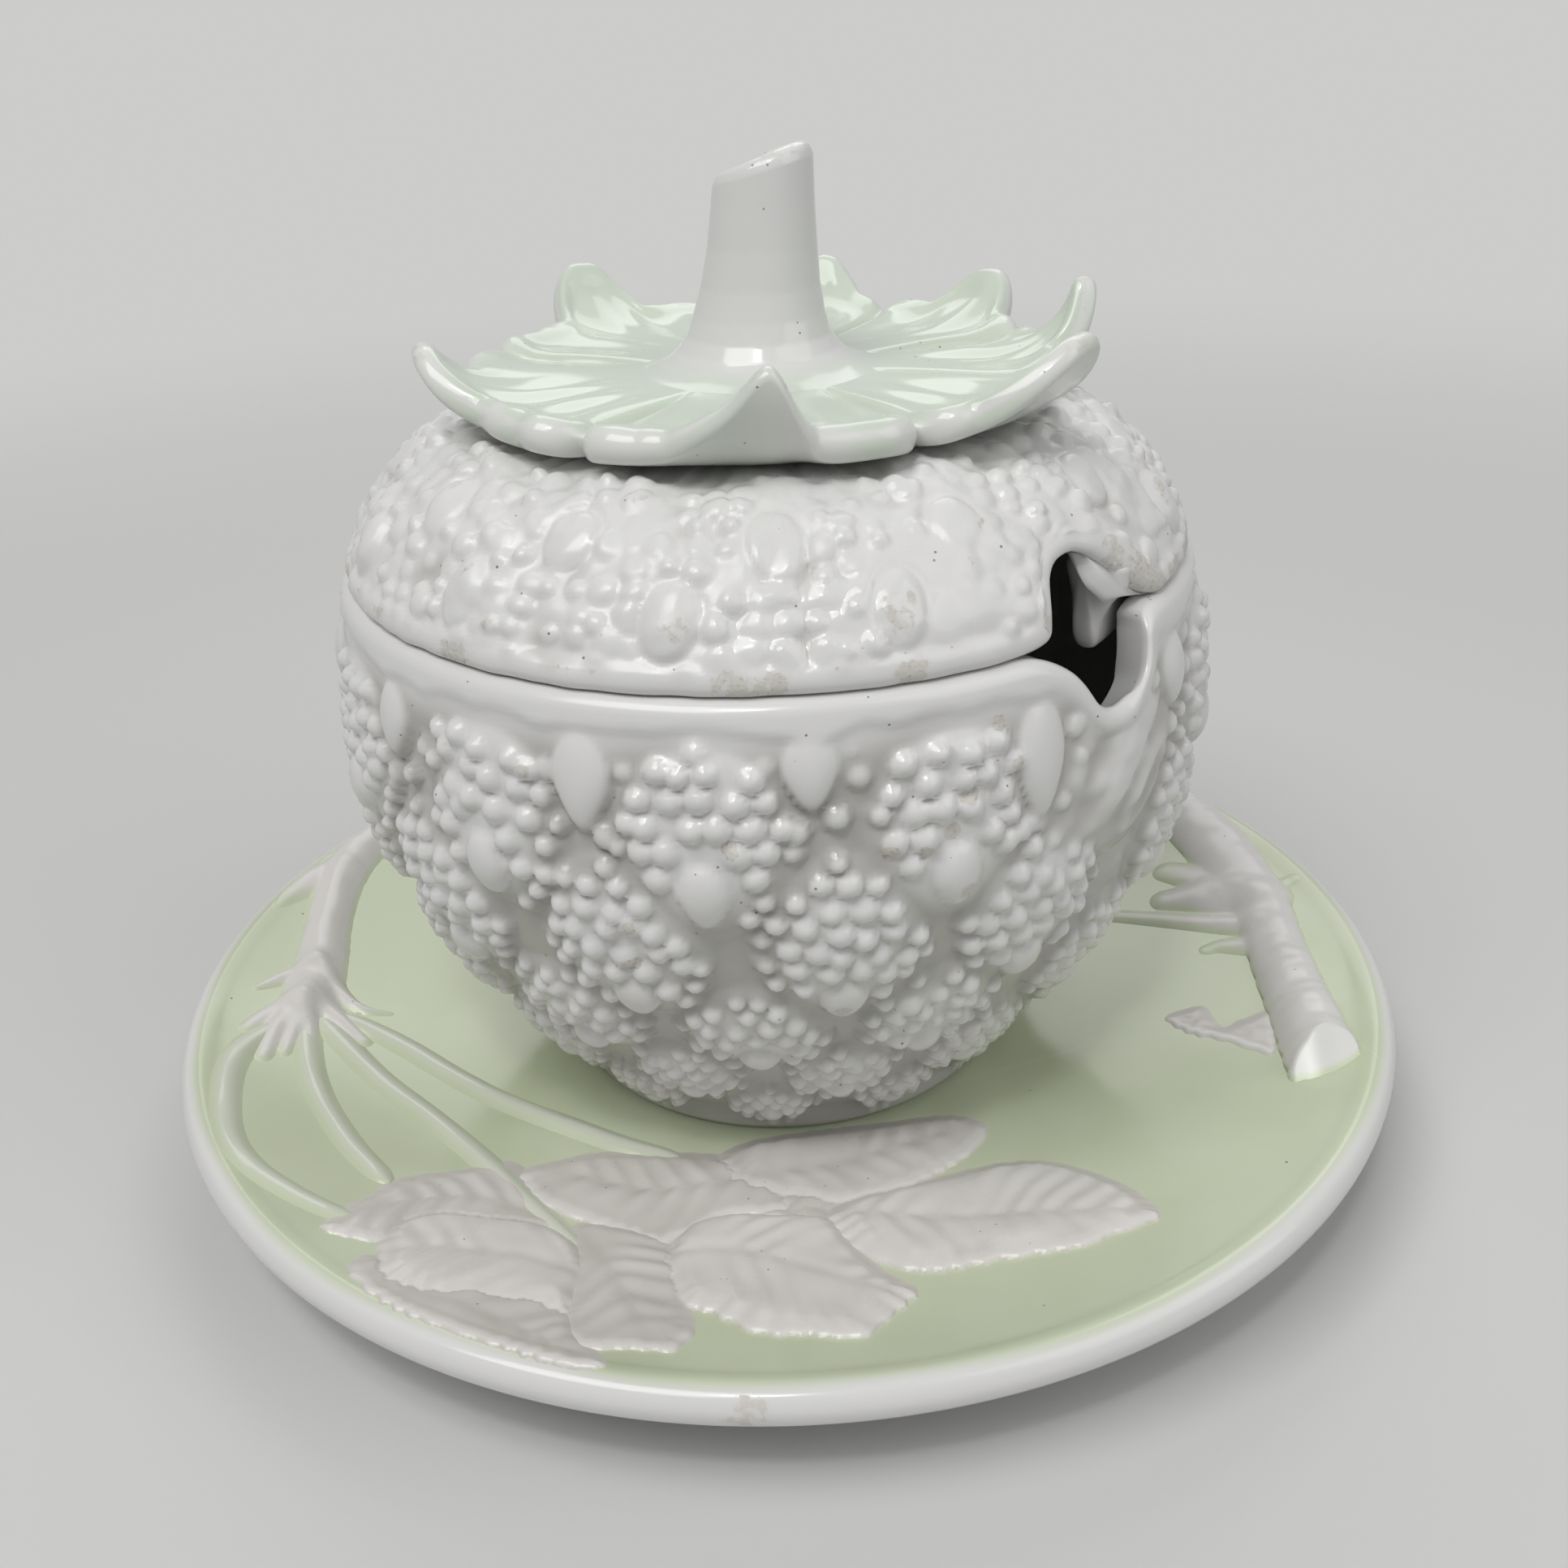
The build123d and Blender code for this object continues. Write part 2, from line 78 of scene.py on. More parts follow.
def waves(x, y, size, count=9, seed=0):
    """Smooth uneven waves of about that size, from -1 to 1, the same on every run."""
    picks = np.random.default_rng(seed)
    total = np.zeros_like(x)
    for _ in range(count):
        turn = picks.uniform(0, math.pi)
        pitch = size * picks.uniform(0.7, 1.5)
        shift = picks.uniform(0, 2 * math.pi)
        total += np.sin((x * math.cos(turn) + y * math.sin(turn)) * 2 * math.pi / pitch + shift)
    return total / math.sqrt(count) / 1.6


def round_waves(degrees, height, radius, size, count=9, seed=0):
    """Uneven waves on a body of revolution, which meet where they have gone round."""
    picks = np.random.default_rng(seed)
    total = np.zeros_like(height)
    around = 2 * math.pi * radius
    for _ in range(count):
        turn = picks.uniform(0, 2 * math.pi)
        pitch = size * picks.uniform(0.7, 1.5)
        count_around = round(around / pitch * math.cos(turn))
        shift = picks.uniform(0, 2 * math.pi)
        total += np.sin(
            count_around * np.radians(degrees) + height * math.sin(turn) * 2 * math.pi / pitch + shift
        )
    return total / math.sqrt(count) / 1.6


def arc_points(start, end, direction, count):
    """Points on the arc that leaves start in that direction and ends at end."""
    start, end, heading = (np.array(v, float) for v in (start, end, direction))
    chord = end - start
    left = np.array([-heading[1], heading[0]])
    radius = chord @ chord / (2 * chord @ left)
    centre = start + radius * left
    sweep = 2 * math.atan2(heading[0] * chord[1] - heading[1] * chord[0], heading @ chord)
    turn = np.linspace(0, 1, count) * sweep
    arm = start - centre
    spokes = [arm[0] * np.cos(turn) - arm[1] * np.sin(turn), arm[0] * np.sin(turn) + arm[1] * np.cos(turn)]
    leaves = (
        heading[0] * math.cos(sweep) - heading[1] * math.sin(sweep),
        heading[0] * math.sin(sweep) + heading[1] * math.cos(sweep),
    )
    return centre + np.stack(spokes, axis=1), leaves


def curve_through(points, count, closed=False):
    """Evenly spaced points on a smooth curve through the given points."""
    knots = np.array(points, float)
    if closed:
        knots = np.concatenate([knots[-1:], knots, knots[:2]])
    else:
        knots = np.concatenate([knots[:1], knots, knots[-1:]])
    fine = []
    for i in range(1, len(knots) - 2):
        p0, p1, p2, p3 = knots[i - 1 : i + 3]
        for t in np.linspace(0, 1, 24, endpoint=False):
            fine.append(
                p1
                + 0.5 * t * (p2 - p0 + t * (2 * p0 - 5 * p1 + 4 * p2 - p3 + t * (3 * p1 - p0 - 3 * p2 + p3)))
            )
    fine.append(knots[-2])
    fine = np.array(fine)
    lengths = np.concatenate([[0], np.cumsum(np.linalg.norm(np.diff(fine, axis=0), axis=1))])
    want = np.linspace(0, lengths[-1], count)
    return np.stack([np.interp(want, lengths, fine[:, k]) for k in range(fine.shape[1])], axis=1)


# Meshes: each piece starts as a flat grid whose vertices are moved into its shape
def rolled(name, table, marks):
    """A grid as large as the table of points, with each vertex moved to its point there."""
    rows, columns = table.shape[0] - 1, table.shape[1] - 1
    bpy.ops.object.select_all(action="DESELECT")
    bpy.ops.mesh.primitive_grid_add(x_subdivisions=columns, y_subdivisions=rows, size=2)
    piece = bpy.context.active_object
    piece.name = name
    mesh = piece.data
    mesh.name = name
    flat = np.empty(len(mesh.vertices) * 3)
    mesh.vertices.foreach_get("co", flat)
    flat = flat.reshape(-1, 3)
    column = np.rint((flat[:, 0] + 1) / 2 * columns).astype(int)
    row = np.rint((flat[:, 1] + 1) / 2 * rows).astype(int)
    mesh.vertices.foreach_set("co", (table[row, column] * MM).ravel())
    for mark, values in marks.items():
        layer = mesh.attributes.new(mark, "FLOAT", "POINT")
        layer.data.foreach_set("value", values[row, column].astype(np.float32))
    mesh.update()
    bpy.ops.object.mode_set(mode="EDIT")
    bpy.ops.mesh.select_all(action="SELECT")
    bpy.ops.mesh.remove_doubles(threshold=0.002 * MM)
    bpy.ops.mesh.dissolve_degenerate(threshold=0.001 * MM)
    bpy.ops.mesh.normals_make_consistent(inside=False)
    bpy.ops.object.mode_set(mode="OBJECT")
    bpy.ops.object.shade_smooth()
    return piece


def joined(pieces):
    """The pieces as one object, named as the first."""
    bpy.ops.object.select_all(action="DESELECT")
    for piece in pieces:
        piece.select_set(True)
    bpy.context.view_layer.objects.active = pieces[0]
    bpy.ops.object.join()
    return pieces[0]


def finish_piece(piece, body, node, material):
    """Gives a piece its material, its body and the node that it stands for."""
    piece.data.materials.clear()
    piece.data.materials.append(material)
    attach(piece, body)
    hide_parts(node)


def round_points(degrees, radius, height):
    """Points from a direction, a radius and a height above the table."""
    turn = np.radians(degrees)
    return np.stack([radius * np.cos(turn), radius * np.sin(turn), height], axis=-1)


# Materials
class Sock:
    """A shader socket whose arithmetic adds Math nodes."""

    def __init__(self, tree, socket):
        self.tree = tree
        self.socket = socket

    def math(self, operation, *values):
        node = self.tree.nodes.new("ShaderNodeMath")
        node.operation = operation
        for place, value in enumerate(values):
            if isinstance(value, Sock):
                self.tree.links.new(value.socket, node.inputs[place])
            else:
                node.inputs[place].default_value = value
        return Sock(self.tree, node.outputs[0])

    def __add__(self, other):
        return self.math("ADD", self, other)

    __radd__ = __add__

    def __sub__(self, other):
        return self.math("SUBTRACT", self, other)

    def __rsub__(self, other):
        return self.math("SUBTRACT", other, self)

    def __mul__(self, other):
        return self.math("MULTIPLY", self, other)

    __rmul__ = __mul__

    def step(self, low, high):
        """0 below low, 1 above high, soft between."""
        node = self.tree.nodes.new("ShaderNodeMapRange")
        node.interpolation_type = "SMOOTHSTEP"
        self.tree.links.new(self.socket, node.inputs["Value"])
        node.inputs["From Min"].default_value = low
        node.inputs["From Max"].default_value = high
        return Sock(self.tree, node.outputs["Result"])


class Shader:
    """The node tree of a material or world, with short ways to add nodes."""

    def __init__(self, owner, output="ShaderNodeOutputMaterial"):
        owner.use_nodes = True
        self.owner = owner
        self.tree = owner.node_tree
        self.tree.nodes.clear()
        self.output = self.tree.nodes.new(output)
        self.coordinates = self.add("ShaderNodeTexCoord", out="Object")

    def add(self, kind, settings=None, out=0, **inputs):
        """A node of that kind. Settings are set first, then the values or links of its sockets."""
        node = self.tree.nodes.new(kind)
        for key, value in (settings or {}).items():
            setattr(node, key, value)
        for key, value in inputs.items():
            socket = node.inputs[key.replace("_", " ")]
            if isinstance(value, Sock):
                self.tree.links.new(value.socket, socket)
            else:
                socket.default_value = value
        return Sock(self.tree, node.outputs[out])

    def noise(self, scale, detail=2.0, roughness=0.5):
        return self.add(
            "ShaderNodeTexNoise",
            out="Fac",
            Vector=self.coordinates,
            Scale=scale,
            Detail=detail,
            Roughness=roughness,
        )

    def specks(self, scale, size):
        """Small round spots: 1 in a spot, 0 outside."""
        distance = self.add("ShaderNodeTexVoronoi", out="Distance", Vector=self.coordinates, Scale=scale)
        return 1 - distance.step(size * 0.6, size)

    def mark(self, name):
        return self.add("ShaderNodeAttribute", {"attribute_name": name}, out="Fac")

    def mix(self, amount, first, second):
        """Colour mix from first to second."""
        node = self.tree.nodes.new("ShaderNodeMix")
        node.data_type = "RGBA"
        for socket, value in ((node.inputs[0], amount), (node.inputs[6], first), (node.inputs[7], second)):
            if isinstance(value, Sock):
                self.tree.links.new(value.socket, socket)
            else:
                socket.default_value = value
        return Sock(self.tree, node.outputs[2])

    def surface(self, color, roughness, height, depth=0.00006, **inputs):
        """The finished material, with a bump of that height, whose full range is that depth."""
        normal = self.add("ShaderNodeBump", out="Normal", Strength=1.0, Distance=depth, Height=height)
        shader = self.add(
            "ShaderNodeBsdfPrincipled", Base_Color=color, Roughness=roughness, Normal=normal, IOR=1.5, **inputs
        )
        self.tree.links.new(shader.socket, self.output.inputs["Surface"])
        return self.owner


def new_shader(name):
    return Shader(bpy.data.materials.new(name))


def rgb(red, green, blue):
    """A colour written as it looks on screen, turned to the linear values that shaders take."""
    return tuple(((v + 0.055) / 1.055) ** 2.4 for v in (red, green, blue)) + (1.0,)


white = rgb(0.868, 0.866, 0.862)
# Greyer white for the hollows: pooled glaze, darkened further as painted shade
pooled_and_shaded_white = rgb(0.725, 0.720, 0.706)
buff = rgb(0.765, 0.74, 0.69)
pin_dark = rgb(0.36, 0.33, 0.30)
green = rgb(0.805, 0.838, 0.735)
green_deep = rgb(0.742, 0.777, 0.660)
leaf_white = rgb(0.852, 0.840, 0.828)
# leaf_shade: painted shade for the low parts of the white relief
leaf_shade = rgb(0.795, 0.779, 0.760)
mint = rgb(0.800, 0.838, 0.783)
mint_white = rgb(0.868, 0.872, 0.858)


def white_glaze_material():
    """White glaze: pale on high points, greyer in the hollows from pooled glaze and painted shade, with pinholes and
    worn spots.
    """
    s = new_shader("white_glaze")
    relief = s.mark("relief")
    drift = s.noise(38.0, 3.0)
    # Low relief takes the greyer white: pooled glaze and painted shade in the hollows
    color = s.mix((relief + drift * 0.5 - 0.25).step(0.1, 0.75), pooled_and_shaded_white, white)
    specks = s.specks(400.0, 0.062) * s.noise(90.0).step(0.42, 0.56)
    color = s.mix(specks * 0.8, color, pin_dark)
    fine = s.noise(900.0, 3.0)
    grit = s.noise(2600.0, 2.0)
    worn = (s.mark("worn") + (fine - 0.5) * 0.9).step(0.42, 0.60)
    color = s.mix(worn * 0.50, color, buff)
    color = s.mix(worn * grit.step(0.56, 0.70) * 0.26, color, pin_dark)
    color = s.mix(s.mark("mint") * 0.8, color, mint)
    dry = s.mark("dry")
    roughness = 0.11 + 0.06 * s.noise(120.0) + worn * 0.5 + dry * 0.26
    height = s.noise(260.0, 2.0) * 0.35 + fine * 0.05 - specks * 0.9 + worn * (grit * 1.3 - 0.6) + dry * grit * 0.24
    return s.surface(color, roughness, height)


def green_glaze_material():
    """Green glaze in the dish, thinning to white on the rim and on the back."""
    s = new_shader("green_glaze")
    drift = s.noise(22.0, 3.0)
    pool = s.noise(60.0, 2.0)
    color = s.mix((drift + pool * 0.4 - 0.2).step(0.30, 0.75), green_deep, green)
    color = s.mix(s.mark("white"), color, white)
    specks = s.specks(190.0, 0.036) * s.noise(70.0).step(0.46, 0.58)
    color = s.mix(specks * 0.8, color, pin_dark)
    craze = s.add(
        "ShaderNodeTexVoronoi",
        {"feature": "DISTANCE_TO_EDGE"},
        out="Distance",
        Vector=s.coordinates,
        Scale=19.0,
    )
    color = s.mix((1 - craze.step(0.0, 0.005)) * s.mark("craze") * 0.18, color, white)
    grit = s.noise(2600.0, 2.0)
    worn = (s.mark("worn") + (s.noise(900.0, 3.0) - 0.5) * 0.9).step(0.42, 0.60)
    color = s.mix(worn * 0.55, color, buff)
    height = s.noise(180.0, 2.0) * 0.30 - specks * 0.8 + worn * (grit * 0.4 - 0.2)
    return s.surface(color, 0.12 + 0.06 * s.noise(120.0) + worn * 0.5, height)


def leaf_glaze_material():
    """Thin warm white glaze over the relief, with green left in the hollows. Its low parts take a painted shade, and
    the near leaf edges and the cane's top and cut face a painted highlight.
    """
    s = new_shader("leaf_glaze")
    drift = s.noise(70.0, 3.0)
    color = s.mix((s.mark("relief") + drift * 0.6 - 0.3).step(0.1, 0.8), leaf_shade, leaf_white)
    # The pale mark lightens towards white as a painted highlight
    color = s.mix(s.mark("pale"), color, white)
    color = s.mix((s.mark("green") + (drift - 0.5) * 0.3).step(0.15, 0.95), color, green)
    specks = s.specks(400.0, 0.056) * s.noise(90.0).step(0.46, 0.60)
    color = s.mix(specks * 0.7, color, pin_dark)
    height = s.noise(420.0, 3.0) * 0.30 - specks * 0.6
    return s.surface(color, 0.20 + 0.12 * s.noise(150.0), height)


def mint_glaze_material():
    """Mint glaze on the upper faces of the crown's leaves, white at their edges and below."""
    s = new_shader("mint_glaze")
    drift = s.noise(60.0, 3.0)
    color = s.mix((s.mark("white") + (drift - 0.5) * 0.35).step(0.15, 0.9), mint, mint_white)
    specks = s.specks(400.0, 0.058) * s.noise(90.0).step(0.44, 0.58)
    color = s.mix(specks * 0.7, color, pin_dark)
    fine = s.noise(900.0, 3.0)
    worn = (s.mark("worn") + (fine - 0.5) * 0.9).step(0.42, 0.60)
    color = s.mix(worn * 0.45, color, buff)
    height = s.noise(260.0, 2.0) * 0.35 - specks * 0.8 + worn * fine * 0.5
    return s.surface(color, 0.12 + 0.06 * s.noise(120.0) + worn * 0.4, height)


white_glaze = white_glaze_material()
green_glaze = green_glaze_material()
leaf_glaze = leaf_glaze_material()
mint_glaze = mint_glaze_material()


# Spoon notch: its outline as offset along the rim and height above the seam, for pot and lid
notch_pot_path = (
    (-11.5, 0.0), (-9.2, -0.25), (-7.0, -1.1), (-4.8, -2.5), (-3.4, -4.0), (-2.6, -5.2), (-1.7, -6.5),
    (-0.4, -7.4), (1.4, -7.7), (3.8, -7.1), (5.9, -5.5), (6.9, -3.6), (7.4, -1.8), (8.5, -0.5), (10.4, 0.0),
)
notch_lid_path = (
    (-12.0, 0.0), (-9.2, 0.1), (-7.2, 0.5), (-6.2, 1.2), (-5.8, 2.2), (-5.4, 3.4), (-5.0, 4.6),
    (-4.4, 5.8), (-3.2, 6.7), (-1.5, 7.1), (0.3, 7.1), (2.1, 6.5), (3.6, 5.7), (5.2, 4.6), (6.5, 3.5),
    (8.0, 2.2), (9.9, 0.9), (12.4, 0.0),
)
notch_window = 26.0
notch_column_share = 0.66


def edge_columns(count, notch_path):
    """For each column of a body with the notch in its edge: its direction away from the edge,
    and the place and normal of its end on the edge, in offset along the edge and height."""
    degrees = np.linspace(-180, 180, count + 1)
    place = (degrees / notch_window + 1) / 2
    lead = (1 - notch_column_share) / 2
    notch = curve_through(notch_path, 241)
    notch_place = np.clip((place - lead) / notch_column_share, 0, 1)
    offset = np.interp(notch_place, np.linspace(0, 1, 241), notch[:, 0])
    height = np.interp(notch_place, np.linspace(0, 1, 241), notch[:, 1])
    window = math.radians(notch_window) * rim_radius
    before, after = place < lead, place > 1 - lead
    offset = np.where(before, -window + (notch[0, 0] + window) * place / lead, offset)
    offset = np.where(after, window - (window - notch[-1, 0]) * (1 - place) / lead, offset)
    outside = np.abs(degrees) >= notch_window
    offset = np.where(outside, np.radians(degrees) * rim_radius, offset)
    height = np.where(before | after | outside, 0.0, height)
    run, rise = np.gradient(offset), np.gradient(height)
    length = np.hypot(run, rise)
    return degrees, offset, height, -rise / length, run / length


def distance_to_path(x, y, path):
    """Distance from each point to the nearest place on a path of short runs."""
    best = np.full(x.shape, 1e9)
    for (ax, ay), (bx, by) in zip(path[:-1], path[1:]):
        run_x, run_y = bx - ax, by - ay
        share = np.clip(((x - ax) * run_x + (y - ay) * run_y) / (run_x**2 + run_y**2), 0, 1)
        best = np.minimum(best, np.hypot(x - ax - share * run_x, y - ay - share * run_y))
    return best


# Pot profile, in radius and height above its foot
lower_arc, waist_heading = arc_points(
    (belly_radius, belly_height), (waist_radius, waist_height), (0.0, -1.0), 60
)
base_arc, _ = arc_points((waist_radius, waist_height), (foot_radius, 0.0), waist_heading, 60)
upper_arc, _ = arc_points((belly_radius, belly_height), (rim_radius, pot_height), (0.0, 1.0), 40)
pot_profile = np.concatenate([base_arc[::-1], lower_arc[::-1][1:], upper_arc[1:]])
pot_run = np.concatenate([[0], np.cumsum(np.linalg.norm(np.diff(pot_profile, axis=0), axis=1))])


def pot_outer(height):
    """Outer radius of the pot, without its relief, at a height above its foot."""
    return np.interp(height, pot_profile[:, 1], pot_profile[:, 0])


def pot_up(height):
    """Way up the pot's wall from its foot to a height."""
    return np.interp(height, pot_profile[:, 1], pot_run)


class Relief:
    """Beads, seeds and mounds on a wall that is rolled out flat: degrees round it and way up it."""

    def __init__(self, degrees, up, radius_at):
        self.order = np.argsort(up, kind="stable")
        self.degrees = degrees[self.order]
        self.up = up[self.order]
        self.radius = radius_at(self.up)
        self.height = np.zeros_like(self.up)
        self.worn = np.zeros_like(self.up)

    def near(self, degrees, up, reach):
        """Indexes of the points near a place, and their offsets from it."""
        low, high = np.searchsorted(self.up, (up - reach, up + reach))
        x = np.radians(wrap(self.degrees[low:high] - degrees)) * self.radius[low:high]
        close = np.abs(x) < reach
        index = np.arange(low, high)[close]
        return index, x[close], self.up[index] - up

    def raise_to(self, index, values):
        self.height[index] = np.maximum(self.height[index], values)

    def result(self, values):
        """Values in the order in which the points were given."""
        out = np.empty_like(values)
        out[self.order] = values
        return out


def lobe_distance(x, y, half_width, half_height):
    """0 in the middle of a lobe, 1 on its outline. Its lower end is narrower."""
    narrow = 1 - 0.20 * smooth(0.0, 1.0, -y / half_height)
    return (np.abs(x / (half_width * narrow)) ** 2.3 + np.abs(y / half_height) ** 2.3) ** (1 / 2.3)


def seed_shape(x, y, half_width, half_height):
    """A drop with its point down: 1 on top, 0 on its outline and outside."""
    narrow = 1 - 0.36 * smooth(-0.2, 1.0, -y / half_height)
    reach = np.hypot(x / (half_width * narrow), y / half_height)
    return np.clip(1 - reach**2.2, 0, 1) ** 0.62, reach


# Rows of lobes: height of the middle and half height above the foot, seed height, half width and
# half height of the seed, direction of one lobe, and the directions of those in the photograph
lobe_pitch = 360 / 13
lobe_rows = (
    (49.1, 10.6, 44.6, 2.7, 3.9, 3.7, (-78.9, -51.8, -23.2, 3.7)),
    (37.0, 11.0, 30.0, 2.5, 3.6, -35.3, (-62.3, -36.0, -11.0)),
    (23.7, 7.9, 19.6, 2.2, 2.8, -47.6, (-74.5, -47.6, -22.5)),
    (13.8, 6.4, 10.9, 1.8, 2.2, -34.0, (-61.0, -34.0, -8.0)),
    (5.6, 4.9, 3.9, 1.5, 1.7, -47.6, (-47.6,)),
)
rim_seeds = (-95.8, -65.6, -39.6, -11.7)
worn_spots = ((-17.3, 59.2), (-22.0, 53.1), (-24.0, 49.6), (-31.2, 48.3), (-27.3, 48.1), (-22.5, 43.4),
              (-48.6, 50.2), (-36.3, 29.9), (-61.2, 36.2))
rim_seed_sizes = {-65.6: (3.5, 5.9, 56.0), -39.6: (3.2, 4.7, 57.7), -11.7: (3.4, 7.2, 54.6)}
flooded_lobe = 3.7


def row_directions(first, seen, picks):
    """Directions of one row: where the photographed ones are, and evenly spaced elsewhere."""
    directions = []
    for number in range(13):
        even = wrap(first + lobe_pitch * number)
        close = [d for d in seen if abs(wrap(d - even)) < 8]
        directions.append(close[0] if close else even + picks.uniform(-1.2, 1.2))
    return directions


def bead_places(pitch, tilt, picks):
    """Places of beads round a lobe's middle, close-packed but uneven."""
    places = []
    for across in range(-7, 8):
        for row in range(-8, 9):
            x, y = (across + 0.5 * (row % 2)) * pitch, row * pitch * 0.87
            x, y = x * math.cos(tilt) - y * math.sin(tilt), x * math.sin(tilt) + y * math.cos(tilt)
            shift = picks.normal(0, 0.12, 2) * pitch
            places.append((x + shift[0], y + shift[1], *picks.uniform(0, 1, 3)))
    return places


def pot_lobes(picks):
    """Every lobe on the pot: direction, way up, half sizes, seed and radius."""
    lobes = []
    for middle, half, seed, seed_width, seed_height, first, seen in lobe_rows:
        radius = float(pot_outer(middle))
        half_up = float(pot_up(middle + half) - pot_up(max(middle - half, 0))) / 2
        for direction in row_directions(first, seen, picks):
            width = math.radians(10.9) * radius
            seed_up = float(pot_up(seed))
            lobes.append(
                (direction, float(pot_up(middle)), width, half_up, seed_up, seed_width, seed_height, radius)
            )
    return lobes


def pot_relief(degrees, height):
    """Height of the pot's relief at points of its wall, how high it is from 0 to 1, and its wear."""
    picks = np.random.default_rng(5)
    relief = Relief(degrees, pot_up(height), lambda up: pot_outer(np.interp(up, pot_run, pot_profile[:, 1])))
    lobes = pot_lobes(picks)
    for direction, up, width, half_up, *_ in lobes:
        index, x, y = relief.near(direction, up, half_up * 1.1)
        away = np.clip(lobe_distance(x, y, width, half_up), 0, 1)
        relief.raise_to(index, 1.50 * (1 - away**2.6) ** 0.8 * min(1, half_up / 8))
    mounds = relief.height.copy()
    beads = np.zeros_like(mounds)
    for place, (direction, up, width, half_up, seed_up, seed_width, seed_height, radius) in enumerate(lobes):
        pitch = 3.15 * (radius / 50) ** 0.75
        flooded = direction == flooded_lobe
        near_lobes = [
            other
            for number, other in enumerate(lobes)
            if abs(wrap(direction - other[0])) < 32 and abs(up - other[1]) < 24 and number != place
        ]
        for x, y, big, tall, spot in bead_places(pitch, math.radians(picks.uniform(-12, 12)), picks):
            own = lobe_distance(x, y, width, half_up)
            seed_x, seed_y = x / (seed_width + 0.34 * pitch), (y + up - seed_up) / (seed_height + 0.30 * pitch)
            if own > 1.0 or math.hypot(seed_x, seed_y) < 1:
                continue
            rival = min(
                lobe_distance(x + math.radians(wrap(direction - o[0])) * radius, y + up - o[1], o[2], o[3])
                for o in near_lobes
            )
            if rival < own + 0.10:
                continue
            index, bx, by = relief.near(direction + math.degrees(x / radius), up + y, pitch * 0.75)
            reach = 0.5 * pitch * (1.02 - 0.16 * own) * (0.84 + 0.20 * big)
            dome = np.clip(1 - (np.hypot(bx, by) / reach) ** 2.1, 0, 1) ** 0.72
            rise = 1.12 * (pitch / 3.0) * (0.78 + 0.30 * tall) * (0.25 if flooded else 1)
            beads[index] = np.maximum(beads[index], rise * dome)
            if spot < 0.012 and not flooded:
                relief.worn[index] = np.maximum(relief.worn[index], np.exp(-((np.hypot(bx, by) / 0.8) ** 4)))
        index, sx, sy = relief.near(direction, seed_up, 6.5)
        shape, reach = seed_shape(sx, sy, seed_width, seed_height)
        rise = 1.45 * (seed_width / 2.7) * (0.55 if flooded else 1)
        beads[index] = np.maximum(beads[index] * (reach > 1.0), rise * shape)
    for direction, spot_height in worn_spots:
        index, x, y = relief.near(direction, float(pot_up(spot_height)), 2.4)
        relief.worn[index] = np.maximum(relief.worn[index], np.exp(-((np.hypot(x, y) / 1.0) ** 4)))
    mounds = relief.result(mounds)
    beads = relief.result(beads)
    worn = relief.result(relief.worn)
    around = np.radians(degrees) * rim_radius
    valley = -1.75 + 1.30 * smooth(52.5, 61.0, height) + 0.12 * round_waves(degrees, height, 48, 13.0, seed=3)
    keep = 1 - 0.75 * smooth(57.5, 61.2, height)
    total = np.maximum(valley + mounds * keep, valley) + beads * (1 - 0.35 * smooth(59.2, 61.0, height))
    rim = Relief(degrees, pot_up(height), lambda up: pot_outer(np.interp(up, pot_run, pot_profile[:, 1])))
    rim.height[:] = -9
    for direction in row_directions(rim_seeds[3], rim_seeds, picks):
        half_width, half_height, middle = rim_seed_sizes.get(direction, (3.2, 4.8, 56.4))
        index, x, y = rim.near(direction, float(pot_up(middle)), 8.0)
        shape, reach = seed_shape(x, y, half_width, half_height)
        rim.raise_to(index, np.where(shape > 0, 1.75 * shape - 1.45, -9))
        for bead_x, bead_y in ((4.6, 1.4), (4.9, -1.8), (-4.6, 0.2), (2.6, -5.6), (-0.8, -6.9), (4.4, 4.2)):
            if picks.random() < 0.25:
                continue
            shift = picks.normal(0, 0.35, 2)
            place = direction + math.degrees((bead_x + shift[0]) / 49)
            index, bx, by = rim.near(place, float(pot_up(middle)) + bead_y + shift[1], 2.4)
            dome = np.clip(1 - (np.hypot(bx, by) / picks.uniform(1.25, 1.6)) ** 2.2, 0, 1) ** 0.62
            rim.raise_to(index, np.where(dome > 0, 0.95 * dome - 1.35, -9))
    total = np.maximum(total, rim.result(rim.height))
    seeds_round = np.cos(np.radians(degrees - rim_seeds[2]) * 13)
    scallop = 61.3 - 0.40 * seeds_round + 0.50 * round_waves(degrees, height * 0, 48, 8.0, seed=8)
    scallop = scallop + 0.22 * round_waves(degrees, height * 0, 48, 3.2, seed=9)
    band = smooth(scallop - 0.75, scallop + 0.35, height)
    near_notch = (np.abs(around) < 16) & (height > 48)
    gap = np.full(height.shape, 9.0)
    path = curve_through(notch_pot_path, 44)
    gap[near_notch] = distance_to_path(around[near_notch], height[near_notch] - pot_height, path)
    lip = smooth(3.6, 1.2, gap) * smooth(13.0, 9.0, np.abs(around - 0.2))
